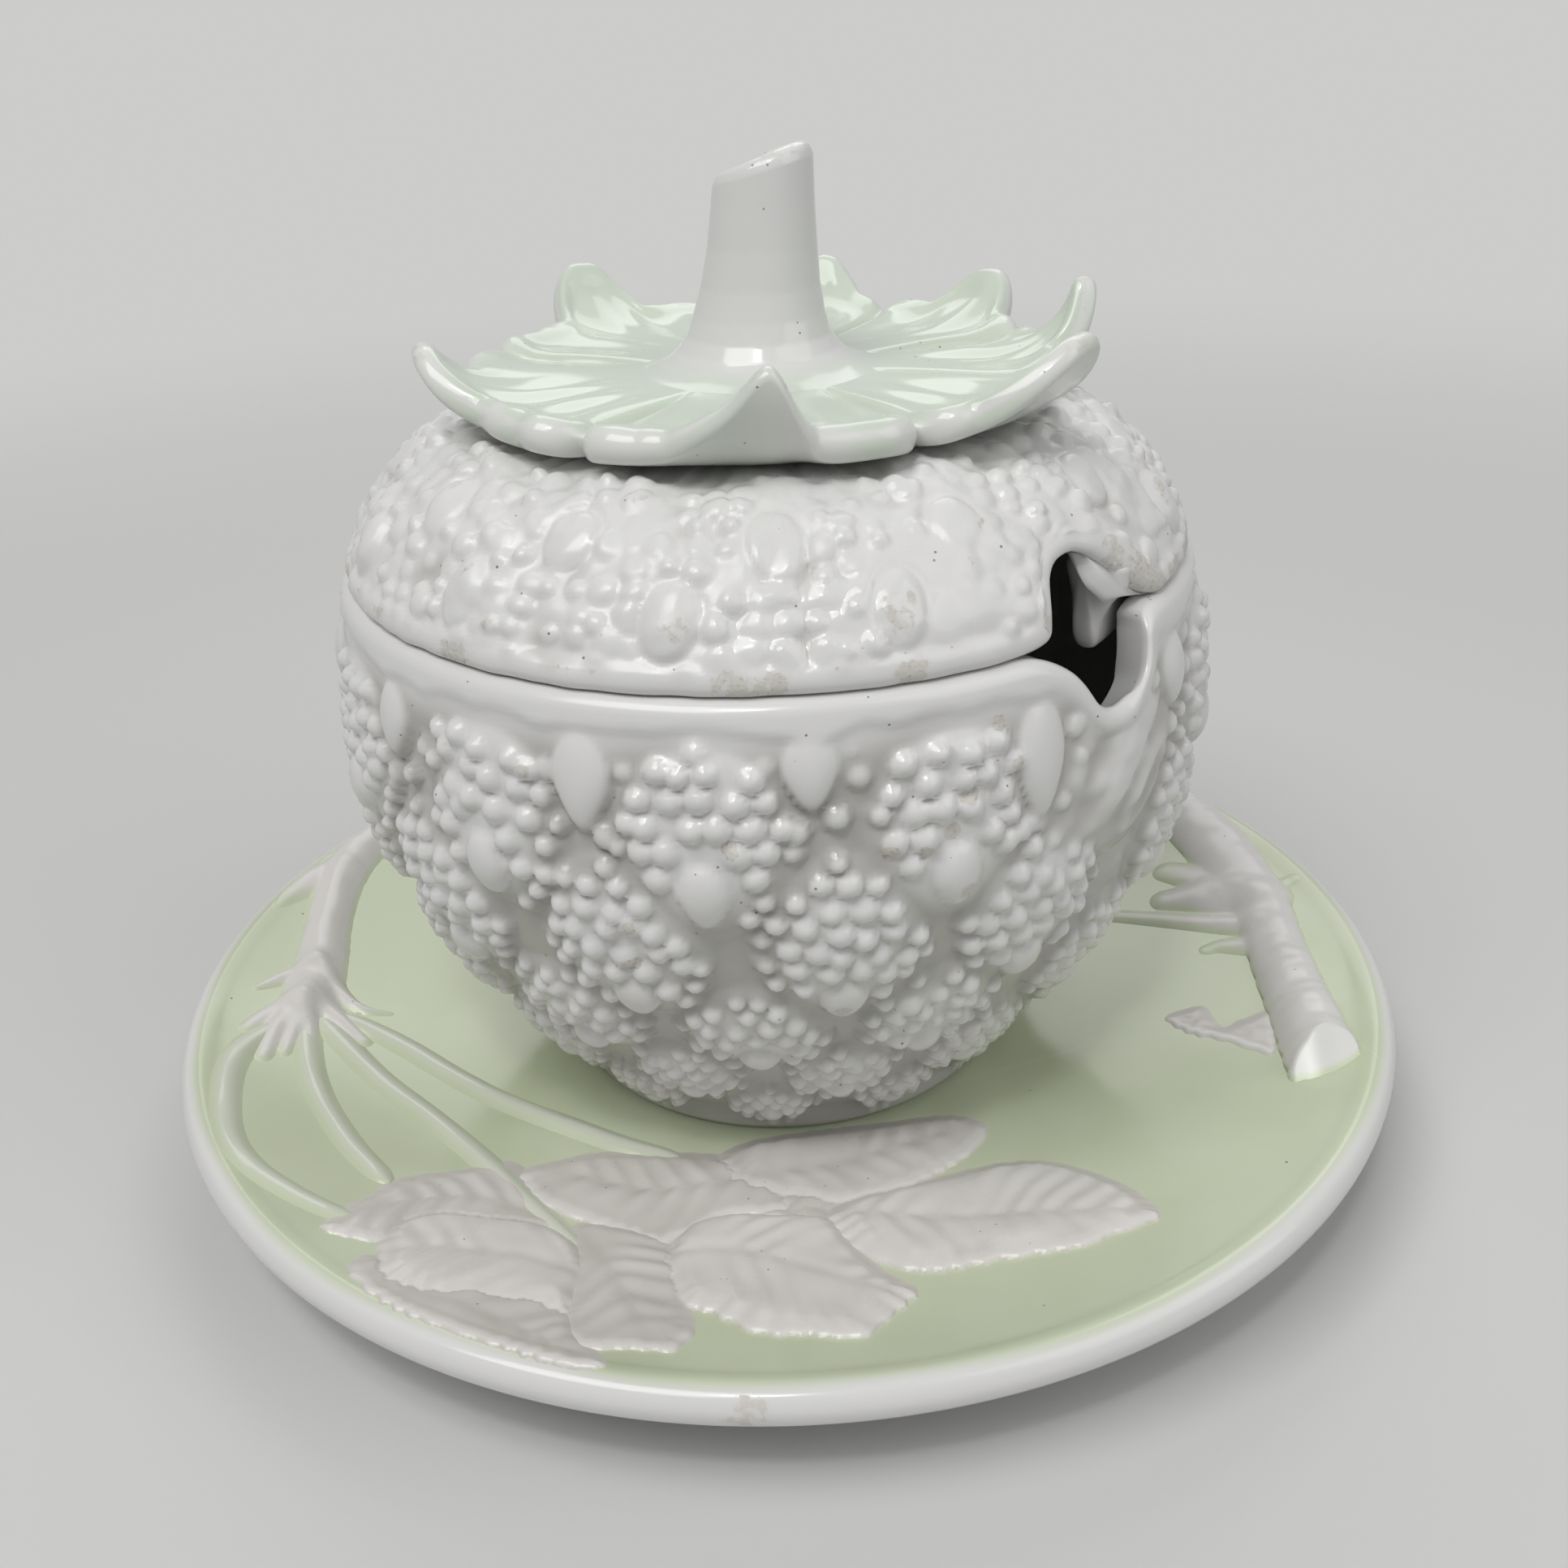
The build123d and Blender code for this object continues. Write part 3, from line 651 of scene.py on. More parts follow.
    # smooth folds under the notch, which run down to the left, and a small pit
    x, y = around - 2.0, height - 49.7
    along, across = 0.75 * x + 0.66 * y, 0.75 * y - 0.66 * x
    sway = 0.9 * np.sin(along / 3.4 + 0.8)
    broad = -1.05 + 0.22 * round_waves(degrees, height, 48, 5.5, seed=12) + 0.10 * round_waves(
        degrees, height, 48, 3.0, seed=13
    )
    for middle, shift, half_length, half_width, rise in (
        (0.5, 0.2, 10.2, 4.6, 1.10), (1.5, -5.4, 6.5, 2.6, 0.62), (-3.5, 6.2, 4.2, 2.2, 0.45)
    ):
        away = ((along - middle) / half_length) ** 2 + ((across - shift - sway) / half_width) ** 2
        broad = broad + rise * np.clip(1 - away, 0, 1) ** 1.4
    broad = broad - 0.22 * np.exp(-(((across - 1.4 - 1.3 * sway) / 0.8) ** 2)) * smooth(9, 3, np.abs(along - 1))
    broad = broad - 0.75 * np.exp(-(np.hypot((around - 0.2) / 1.5, (height - 54.5) / 1.1) ** 2))
    under = smooth(1.22, 0.82, np.hypot((around - 1.4) / 11.5, (height - 50.6) / 9.0))
    total = total * (1 - under) + np.maximum(broad, rim.result(rim.height)) * under
    total = total * (1 - lip) + (0.10 - 0.10 * gap) * lip
    total = total * (1 - band) + 0.05 * band
    # How raised the relief is, 0 to 1: low parts turn greyer with it, pooled glaze and painted shade
    raised = smooth(-1.5, 0.3, total)
    return total, raised, worn * (1 - under)


def revolve_rows(profile, columns):
    """Rows of radius and height that are the same in every column."""
    radius = np.repeat(np.array([p[0] for p in profile])[:, None], columns, axis=1)
    height = np.repeat(np.array([p[1] for p in profile])[:, None], columns, axis=1)
    return radius, height


def edge_rows(offset, height, out_x, out_z, rounding, outer_at, inner_at, band_lift, slant, spread, steps=5):
    """Rows over a wall's edge, from its outer to its inner face, as degrees, radius and height.
    The slant is how far the edge has shifted, along the rim and up, at the inner face. The spread
    is how far back from the edge its rounding starts."""
    rows = []
    for step in range(1, steps + 1):
        turn = math.pi / 2 * step / steps
        rows.append((spread * (1 - math.sin(turn)), rounding * (1 - math.cos(turn)), 0))
    rows += [(0, 0, 0.33), (0, 0, 0.67)]
    for step in range(steps - 1, -1, -1):
        turn = math.pi / 2 * step / steps
        rows.append((spread * (1 - math.sin(turn)), rounding * (1 - math.cos(turn)), 1))
    degrees, radius, up = [], [], []
    for back, inward, side in rows:
        x = offset - back * out_x + slant[0] * side
        z = height - back * out_z + slant[1] * side
        outer = outer_at(z) + band_lift - inward
        inner = inner_at(z) + inward
        degrees.append(np.degrees(x / rim_radius))
        radius.append(outer + (inner - outer) * side)
        up.append(z)
    return np.array(degrees), np.array(radius), np.array(up)


def make_pot():
    columns = 560
    base, offset, rise, out_x, out_z = edge_columns(columns, notch_pot_path)
    end_height = pot_height + rise
    depth = np.clip(-rise / 7.7, 0, 1)
    rounding = 1.3 - 0.85 * smooth(0.0, 0.3, depth) * smooth(2.5, 5.0, offset)
    lift = 0.05
    # underside and foot ring
    foot = [(0, 1.2), (10, 1.2), (20.4, 1.2), (21.1, 0.95), (21.4, 0.35), (22.0, 0.0), (25.2, 0.0), (25.9, 0.2)]
    foot_radius_rows, foot_height_rows = revolve_rows(foot, columns + 1)
    foot_degrees = np.repeat(base[None], len(foot), axis=0)
    # outer wall: even rows up to the notch, then rows that lead to the edge
    split = 46.0
    even = np.interp(np.linspace(pot_up(0.6), pot_up(split), 100), pot_run, pot_profile[:, 1])
    even_height = np.repeat(even[:, None], columns + 1, axis=1)
    even_degrees = np.repeat(base[None], len(even), axis=0)
    lead = np.linspace(0, 1, 35)[1:, None]
    end_x = offset - rounding * out_x
    end_z = end_height - rounding * out_z
    lead_height = split + (end_z - split)[None] * lead
    ease = smooth(0, 1, lead)
    lead_degrees = base[None] * (1 - ease) + np.degrees(end_x / rim_radius)[None] * ease
    wall_height = np.concatenate([even_height, lead_height])
    wall_degrees = np.concatenate([even_degrees, lead_degrees])
    bump, raised, worn = pot_relief(wall_degrees.ravel(), wall_height.ravel())
    bump, raised, worn = (v.reshape(wall_height.shape) for v in (bump, raised, worn))
    settle = np.concatenate([np.zeros(len(even)), smooth(0.86, 1.0, lead[:, 0])])[:, None]
    bump = bump * (1 - settle) + lift * settle
    fade = smooth(0.6, 2.2, wall_height)
    bump = bump * fade
    slope = np.interp(wall_height, pot_profile[1:, 1], np.diff(pot_profile[:, 0]) / np.diff(pot_profile[:, 1]))
    lean = np.hypot(1, slope)
    wall_radius = pot_outer(wall_height) + bump / lean
    wall_up = wall_height - bump * slope / lean
    # edge and inner wall. The notch's cut runs down and a little to one side as it goes in
    right_side = smooth(0.0, 0.25, depth)
    slant = (np.clip(9.4 - offset, 0, None) * smooth(2.5, 6.0, offset) * right_side, -3.6 * depth)

    def pot_inner(z):
        return np.interp(z, (5.0, 24.0, 46.0, 53.0, 64.0), (26.2, 38.9, 45.1, 43.3, 43.3))

    edge_degrees, edge_radius, edge_up = edge_rows(
        offset, end_height, out_x, out_z, rounding, pot_outer, pot_inner, lift, slant, rounding
    )
    inner_lead = np.linspace(0, 1, 9)[1:, None]
    inner_height = (end_z + slant[1])[None] * (1 - inner_lead) + (split - 4) * inner_lead
    inner_start = np.degrees((end_x + slant[0]) / rim_radius)[None]
    inner_degrees = inner_start * (1 - inner_lead) + base[None] * inner_lead
    inner_radius = pot_inner(inner_height)
    low = np.array([36.0, 30, 25, 20, 15, 11, 8.5, 6.9, 5.8, 5.2])
    low_inset = np.array([4.3, 4.3, 4.4, 4.5, 4.7, 4.9, 5.4, 6.4, 8.0, 10.4])
    floor = list(zip(pot_outer(low) - low_inset, low)) + [(18.0, 5.0), (9.0, 5.0), (0.0, 5.0)]
    floor_radius_rows, floor_height_rows = revolve_rows(floor, columns + 1)
    floor_degrees = np.repeat(base[None], len(floor), axis=0)
    degrees = np.concatenate([foot_degrees, wall_degrees, edge_degrees, inner_degrees, floor_degrees])
    radius = np.concatenate([foot_radius_rows, wall_radius, edge_radius, inner_radius, floor_radius_rows])
    up = np.concatenate([foot_height_rows, wall_up, edge_up, inner_height, floor_height_rows])
    table = round_points(degrees, radius, up + pot_z)
    before, after = len(foot), len(degrees) - len(foot) - len(wall_height)
    pad = ((before, after), (0, 0))
    marks = {
        "relief": np.pad(raised, pad, constant_values=0.8),
        "worn": np.pad(worn, pad, constant_values=0.0),
        "dry": np.full(table.shape[:2], 0.2),
    }
    piece = rolled("jam_pot", table, marks)
    finish_piece(piece, "pot", "pot", white_glaze)


make_pot()


# Lid
side_lean = math.radians(14.0)
side_arc, shoulder_heading = arc_points(
    (rim_radius, 0.0), (shoulder_radius, shoulder_rise), (-math.sin(side_lean), math.cos(side_lean)), 60
)
top_edge = 28.9
shoulder_arc, _ = arc_points((shoulder_radius, shoulder_rise), (top_edge, lid_rise), shoulder_heading, 30)
lid_profile = np.concatenate([side_arc, shoulder_arc[1:]])
lid_run = np.concatenate([[0], np.cumsum(np.linalg.norm(np.diff(lid_profile, axis=0), axis=1))])


def lid_outer(rise):
    """Outer radius of the lid, without its relief, at a height above the seam."""
    return np.interp(rise, lid_profile[:, 1], lid_profile[:, 0])


lid_upper_seeds = (-97.3, -71.2, -42.0, -16.5)
lid_lower_seeds = (-84.5, -55.3, -27.5)


def lid_relief(degrees, up):
    """Height of the lid's relief at points of its wall, how high it is, and its wear."""
    picks = np.random.default_rng(9)
    relief = Relief(degrees, up, lambda way: np.interp(way, lid_run, lid_profile[:, 0]))
    flood = round_waves(relief.degrees, relief.up, 44, 15.0, seed=21)
    seeds = []
    for directions, seed_up, first in ((lid_upper_seeds, 15.0, -16.5), (lid_lower_seeds, 7.4, -27.5)):
        seeds += [(direction, seed_up) for direction in row_directions(first, directions, picks)]
    pitch = 2.9
    bead_up = 2.2
    row = 0
    while bead_up < lid_run[-1] - 1.2:
        radius = float(np.interp(bead_up, lid_run, lid_profile[:, 0]))
        count = round(2 * math.pi * radius / pitch)
        for number in range(count):
            shift = picks.normal(0, 0.50, 2)
            big, tall, gone = picks.uniform(0, 1, 3)
            direction = wrap(360 * (number + 0.5 * (row % 2)) / count + math.degrees(shift[0] / radius))
            place = bead_up + shift[1]
            if gone < 0.08 or any(
                math.hypot(math.radians(wrap(direction - d)) * radius / 3.4, (place - u) / 4.4) < 1
                for d, u in seeds
            ):
                continue
            index, x, y = relief.near(direction, place, 2.4)
            if not len(index):
                continue
            reach = np.hypot(x, y) / (0.95 + 0.80 * big**1.4)
            dome = np.clip(1 - reach**2.2, 0, 1) ** 0.62
            relief.raise_to(index, (0.34 + 0.62 * tall) * dome * smooth(1.15, -0.15, flood[index]))
        bead_up += pitch * 0.87
        row += 1
    for direction, seed_up in seeds:
        wide, tall, lean, rise, gap = picks.uniform(0, 1, 5)
        lean = math.radians(26 * (lean - 0.5))
        index, x, y = relief.near(direction, seed_up, 6.5)
        x, y = x * math.cos(lean) + y * math.sin(lean), y * math.cos(lean) - x * math.sin(lean)
        reach = np.hypot(x / (2.2 + 0.7 * wide), y / (3.2 + 0.9 * tall))
        part = 0.30 + 0.70 * (0.5 + 0.5 * np.cos(np.arctan2(y, x) - 2 * math.pi * gap))
        groove = np.exp(-(((reach - 1.12) / 0.13) ** 2)) * part
        swell = np.clip(1 - reach**2.4, 0, 1) ** 0.7
        inside = (0.52 + 0.44 * rise) * swell
        relief.height[index] = np.where(reach < 1.0, inside, relief.height[index]) - 0.34 * groove
    height = relief.result(relief.height)
    lobes = np.cos(np.radians(degrees + 55.3) * 13) * np.cos((up - 7.4) * math.pi / 15)
    lumps = 0.34 * lobes + 0.33 * round_waves(degrees, up, 42, 9.0, seed=31)
    lumps = lumps + 0.20 * np.clip(round_waves(degrees, up, 42, 4.4, seed=32), -0.5, 1)
    lumps = lumps + 0.07 * round_waves(degrees, up, 42, 2.3, seed=34)
    total = height + lumps - 0.40
    around = np.radians(degrees) * rim_radius
    # beside the notch the glaze lies thick and smooth over a broad swelling
    swell = np.exp(-(((around + 14.0) / 8.0) ** 2)) * smooth(1.0, 6.0, up) * smooth(20.0, 11.0, up)
    soft = 0.25 + 0.24 * round_waves(degrees, up, 42, 6.0, seed=33) + 0.10 * round_waves(degrees, up, 42, 3.0, seed=35)
    total = total * (1 - 0.70 * swell) + soft * 0.70 * swell
    over = np.exp(-(((around - 1.0) / 9.0) ** 4)) * smooth(13.0, 9.0, up)
    total = total * (1 - 0.5 * over) - 0.10 * over
    rough = round_waves(degrees, up, 44, 6.0, seed=41)
    edge_wear = smooth(4.0, 1.4, up) * smooth(-0.1, 0.5, round_waves(degrees, up, 44, 6.0, seed=42))
    top_wear = smooth(0.10, 0.7, rough) * smooth(-0.15, 0.30, total)
    worn = np.clip(0.66 * edge_wear + 0.50 * top_wear, 0, 1)
    grains = round_waves(degrees, up, 44, 1.7, seed=44)
    total = total + (0.11 * edge_wear + 0.06 * top_wear) * grains
    wet = np.exp(-((wrap(degrees + 31) / 14) ** 2)) * smooth(13.0, 7.0, up)
    dry = np.clip(0.45 + 0.55 * smooth(-0.3, 0.5, rough) - wet, 0, 1)
    # The second value, how raised the relief is, greys the low parts: pooled glaze and painted shade
    return total, smooth(-1.7, 0.1, total), worn, dry


def make_lid():
    columns = 680
    base, offset, rise, out_x, out_z = edge_columns(columns, notch_lid_path)
    out_x, out_z = -out_x, -out_z
    rounding = 1.9
    away_from_notch = smooth(9.0, 15.0, np.abs(offset))
    lift = -0.30 + (0.34 + 0.16 * round_waves(base, base * 0, 44, 5.5, seed=43)) * away_from_notch
    right_side = smooth(1.5, 6.0, offset) * smooth(0.0, 2.2, rise)
    spread = rounding + 1.6 * right_side
    end_x = offset - spread * out_x
    end_z = rise - spread * out_z
    slant = (-3.2 * right_side, -1.3 * right_side)
    split = 11.6
    # inner face, from the middle out and down
    inner = [(0, 11.6), (12, 11.6), (22, 11.4), (27, 10.9), (31, 9.6)]
    inner_radius_rows, inner_height_rows = revolve_rows(inner, columns + 1)
    inner_degrees = np.repeat(base[None], len(inner), axis=0)
    inner_lead = np.linspace(0, 1, 12)[1:, None]
    inner_top = 8.4
    low_height = inner_top * (1 - inner_lead) + (end_z + slant[1])[None] * inner_lead
    low_end = np.degrees((end_x + slant[0]) / rim_radius)[None]
    low_degrees = base[None] * (1 - inner_lead) + low_end * inner_lead
    low_radius = lid_outer(low_height) - lid_wall - 0.4
    edge_degrees, edge_radius, edge_up = edge_rows(
        offset, rise, out_x, out_z, rounding, lid_outer, lambda z: lid_outer(z) - lid_wall - 0.4, lift, slant, spread
    )
    edge_degrees, edge_radius, edge_up = edge_degrees[::-1], edge_radius[::-1], edge_up[::-1]
    # outer wall: rows that lead away from the edge, then even rows up to the shoulder and the top
    lead = np.linspace(0, 1, 31)[1:, None]
    ease = smooth(0, 1, lead)
    lead_height = end_z[None] * (1 - lead) + split * lead
    lead_degrees = np.degrees(end_x / rim_radius)[None] * (1 - ease) + base[None] * ease
    split_up = np.interp(split, lid_profile[:, 1], lid_run)
    even_up = np.linspace(split_up, lid_run[-1], 32)[1:]
    even_height = np.repeat(np.interp(even_up, lid_run, lid_profile[:, 1])[:, None], columns + 1, axis=1)
    even_radius = np.repeat(np.interp(even_up, lid_run, lid_profile[:, 0])[:, None], columns + 1, axis=1)
    wall_degrees = np.concatenate([lead_degrees, np.repeat(base[None], len(even_up), axis=0)])
    wall_height = np.concatenate([lead_height, even_height])
    wall_radius = np.concatenate([lid_outer(lead_height), even_radius])
    wall_run = np.concatenate(
        [np.interp(lead_height, lid_profile[:, 1], lid_run), np.repeat(even_up[:, None], columns + 1, axis=1)]
    )
    marks = lid_relief(wall_degrees.ravel(), wall_run.ravel())
    bump, raised, worn, dry = (v.reshape(wall_height.shape) for v in marks)
    settle = np.concatenate([smooth(0.20, 0.0, lead[:, 0]), np.zeros(len(even_up))])[:, None]
    bump = bump * (1 - settle) + lift * settle
    run_slope = np.gradient(lid_profile, axis=0)
    run_slope = run_slope / np.linalg.norm(run_slope, axis=1)[:, None]
    slope_r = np.interp(wall_run, lid_run, run_slope[:, 0])
    slope_z = np.interp(wall_run, lid_run, run_slope[:, 1])
    wall_radius = wall_radius + bump * slope_z
    wall_height = wall_height - bump * slope_r
    wall_height[-3:] = np.minimum(wall_height[-3:], lid_rise - 0.02)
    top = [(24.0, lid_rise - 0.03), (12.0, lid_rise - 0.03), (0.0, lid_rise - 0.03)]
    top_radius_rows, top_height_rows = revolve_rows(top, columns + 1)
    top_degrees = np.repeat(base[None], len(top), axis=0)
    degrees = np.concatenate([inner_degrees, low_degrees, edge_degrees, wall_degrees, top_degrees])
    radius = np.concatenate([inner_radius_rows, low_radius, edge_radius, wall_radius, top_radius_rows])
    up = np.concatenate([inner_height_rows, low_height, edge_up, wall_height, top_height_rows])
    table = round_points(degrees, radius, up + seat_z)
    before = len(inner) + len(low_height) + len(edge_up)
    pad = ((before, len(top)), (0, 0))
    edge_worn = 0.64 * smooth(-0.15, 0.45, round_waves(base, base * 0, 44, 6.0, seed=42))
    worn = np.pad(np.maximum(worn, edge_worn[None] * settle), pad, constant_values=0.0)
    worn[before - 5:before] = edge_worn
    marks = {
        "relief": np.pad(raised, pad, constant_values=0.7),
        "worn": worn,
        "dry": np.pad(dry, pad, constant_values=0.4),
    }
    shell = rolled("jam_pot_lid", table, marks)
    # flange: a ring left open at the notch, whose rounded end shows through it
    top, bottom = 4.4, -5.2
    section = curve_through(
        ((38.6, top), (39.2, 0.0), (39.5, bottom + 0.8), (40.3, bottom), (41.2, bottom),
         (42.1, bottom + 0.8), (42.5, -0.6), (43.0, 0.5), (44.0, 1.6), (44.2, 3.0), (43.8, top)),
        48,
        closed=True,
    )
    start, finish = 6.7, 360 - 15.5
    around = start + (finish - start) * smooth(0, 1, np.linspace(0, 1, 261))
    end = np.minimum(around - start, finish - around) / 2.4
    shrink = np.sqrt(1 - (1 - np.clip(end, 0, 1)) ** 2)
    middle = np.array([40.9, top])
    radius = middle[0] + (section[:, 0] - middle[0])[None] * shrink[:, None] ** 0.8
    up = middle[1] + (section[:, 1] - middle[1])[None] * shrink[:, None] ** 0.8
    root = smooth(13.5, 9.0, around)[:, None] * smooth(-3.0, 0.5, section[:, 1])[None] ** 1.5
    radius = radius + 0.8 * root * smooth(40.5, 42.5, section[:, 0])[None] * shrink[:, None]
    table = round_points(np.repeat(around[:, None], len(section), axis=1), radius, up + seat_z)
    plain = {
        "relief": np.full(table.shape[:2], 0.6),
        "worn": np.zeros(table.shape[:2]),
        "dry": np.full(table.shape[:2], 0.4),
    }
    flange = rolled("flange", table, plain)
    piece = joined([shell, flange])
    finish_piece(piece, "lid", "lid", white_glaze)


make_lid()


# Crown: each leaf has a broad low part and a narrow tip that curls up. For each tip: its direction,
# its reach, the radius of its curl and how wide it is on either side
crown_tips = (
    (-41.2, 34.3, 9.75, 10.5, 3.9), (9.5, 38.8, 17.0, 8.5, 6.2), (48.5, 35.6, 11.3, 3.6, 3.6),
    (86.5, 36.6, 15.9, 6.0, 4.4), (121.5, 34.9, 11.5, 4.6, 4.6), (170.8, 38.0, 16.6, 4.2, 7.0),
    (239.5, 35.9, 13.1, 6.0, 8.2),
)
crown_grooves = (
    (-78.5, 28.2), (-13.0, 27.6), (29.5, 29.0), (66.5, 30.0), (106.5, 29.4), (146.5, 29.0), (207.5, 29.6),
)


def crown_outline(degrees):
    """Reach, curl radius, share of a finger tip and degrees from the leaf's tip round the crown."""
    reach = np.zeros_like(degrees)
    curl = np.zeros_like(degrees)
    finger = np.zeros_like(degrees)
    from_tip = np.zeros_like(degrees)
    for place, (tip, tip_reach, tip_curl, width_before, width_after) in enumerate(crown_tips):
        groove, groove_reach = crown_grooves[place]
        after, after_reach = crown_grooves[(place + 1) % 7]
        away = wrap(degrees - tip)
        back, ahead = wrap(groove - tip), wrap(after - tip)
        mine = (away >= back) & (away < ahead)
        side_width = np.where(away < 0, -back, ahead)
        start = np.where(away < 0, groove_reach, after_reach)
        x = np.abs(np.radians(away)) * 33
        from_groove = np.radians(side_width) * 33 - x
        shoulder = start + (31.2 - start) * (1 - np.exp(-from_groove / 1.6))
        shoulder = shoulder + 0.7 * np.sin(np.clip(from_groove / 7.5, 0, 1) * math.pi) - 0.4
        width = np.where(away < 0, width_before, width_after)
        bluntness = np.interp(width, (4.0, 10.0), (2.5, 2.0))
        tongue = np.clip(1.03 * np.clip(1 - (x / width) ** bluntness, 0, 1) ** 0.9, 0, 1)
        flare = 0.22 * np.exp(-((x / (1.35 * width)) ** 2))
        here = shoulder + (tip_reach - shoulder) * np.clip(tongue * 0.82 + flare * 0.82, 0, 1)
        soft = np.exp(-((x / (1.05 * width)) ** (bluntness + 0.4)))
        reach = np.where(mine, here, reach)
        curl = np.where(mine, tip_curl * soft + 21.0 * (1 - soft), curl)
        finger = np.where(mine, soft, finger)
        from_tip = np.where(mine, away, from_tip)
    return reach, curl, finger, from_tip


def softened(values, columns):
    """Values round a ring, smoothed over a number of columns. The last repeats the first."""
    weights = np.hanning(columns + 2)[1:-1]
    ring = np.concatenate([values[-columns - 1:-1], values, values[1:columns + 1]])
    return np.convolve(ring, weights / weights.sum(), mode="same")[columns:-columns]


def make_crown():
    columns = 640
    degrees = np.linspace(-180, 180, columns + 1)
    reach, curl, finger, away = crown_outline(degrees)
    reach, curl, finger = softened(reach, 5), softened(curl, 11), softened(finger, 7)
    reach = reach + 0.22 * round_waves(degrees, degrees * 0, 33, 7.0, seed=51)
    chewed = round_waves(degrees, degrees * 0, 33, 3.0, seed=52) * (1 - 0.5 * finger)
    floor_radius = 24.6
    turn_end = np.arcsin(np.clip((reach - floor_radius) / curl, -1, 0.992))
    length = floor_radius + curl * turn_end
    groove = np.zeros(columns + 1)
    for direction, _ in crown_grooves:
        groove += np.exp(-((np.abs(wrap(degrees - direction)) / 1.9) ** 1.4))
    half = 1.75
    rows = [(share, math.pi / 2) for share in np.linspace(0, 1, 58)]
    rows += [(1.0, turn) for turn in np.linspace(math.pi / 2, -math.pi / 2, 15)[1:]]
    rows += [(share, -math.pi / 2) for share in np.linspace(1, 0, 30)[1:]]
    table, white_mark, worn_mark = [], [], []
    ripple = 2.0 * np.sin(np.radians(degrees) * 4 + 0.6)
    for share, side in rows:
        thick = half * (1 - 0.34 * finger * smooth(0.70, 1.0, share))
        along = length * share
        turn = np.clip((along - floor_radius) / curl, 0, None)
        radius = np.where(turn > 0, floor_radius + curl * np.sin(turn), along)
        height = np.where(turn > 0, curl * (1 - np.cos(turn)), 0)
        normal_r, normal_z = -np.sin(turn), np.cos(turn)
        upper = max(math.sin(side), 0)
        out = smooth(13.5, 25.0, along)
        ribs = np.cos(np.radians(away) * 21 * (1 - 0.2 * share) + ripple)
        ridge = 0.30 * ribs * out * smooth(1.01, 0.93, share)
        middle = np.exp(-((np.radians(away) * radius / 1.5) ** 2)) * out * smooth(1.0, 0.9, share)
        between = groove * smooth(11.0, 20.0, along)
        rim = smooth(0.90, 0.98, share)
        top = (0.26 + 0.07 * chewed) * rim + ridge - 0.40 * middle - 1.25 * between
        lift = thick * math.sin(side) + upper * top + (1 - upper) * 0.55 * groove * smooth(0.8, 1.0, share)
        push = (thick + 0.06 * chewed) * math.cos(side)
        table.append(
            round_points(
                degrees,
                np.maximum(radius + normal_r * lift + normal_z * push, 0),
                crown_z + half + 0.02 + height + normal_z * lift - normal_r * push,
            )
        )
        outer_white = 0.62 * (1 - upper) * (math.sin(side) < 0.5)
        bright = (0.15 + 0.45 * math.cos(side)) * smooth(0.955, 1.0, share) * (upper > 0)
        white_mark.append(np.clip(bright + outer_white + 0.22 * ribs * out, 0, 1))
        worn_mark.append(0.50 * finger**4 * smooth(0.97, 1.0, share) * smooth(0.5, 0.95, math.cos(side)))
    table = np.array(table)
    table[..., 2] = np.maximum(table[..., 2], crown_z + 0.01)
    table[0, :, :2] = 0
    table[-1, :, :2] = 0
    marks = {"white": np.array(white_mark), "worn": np.array(worn_mark)}
    piece = rolled("crown_of_leaves", table, marks)
    finish_piece(piece, "lid", "crown", mint_glaze)


make_crown()


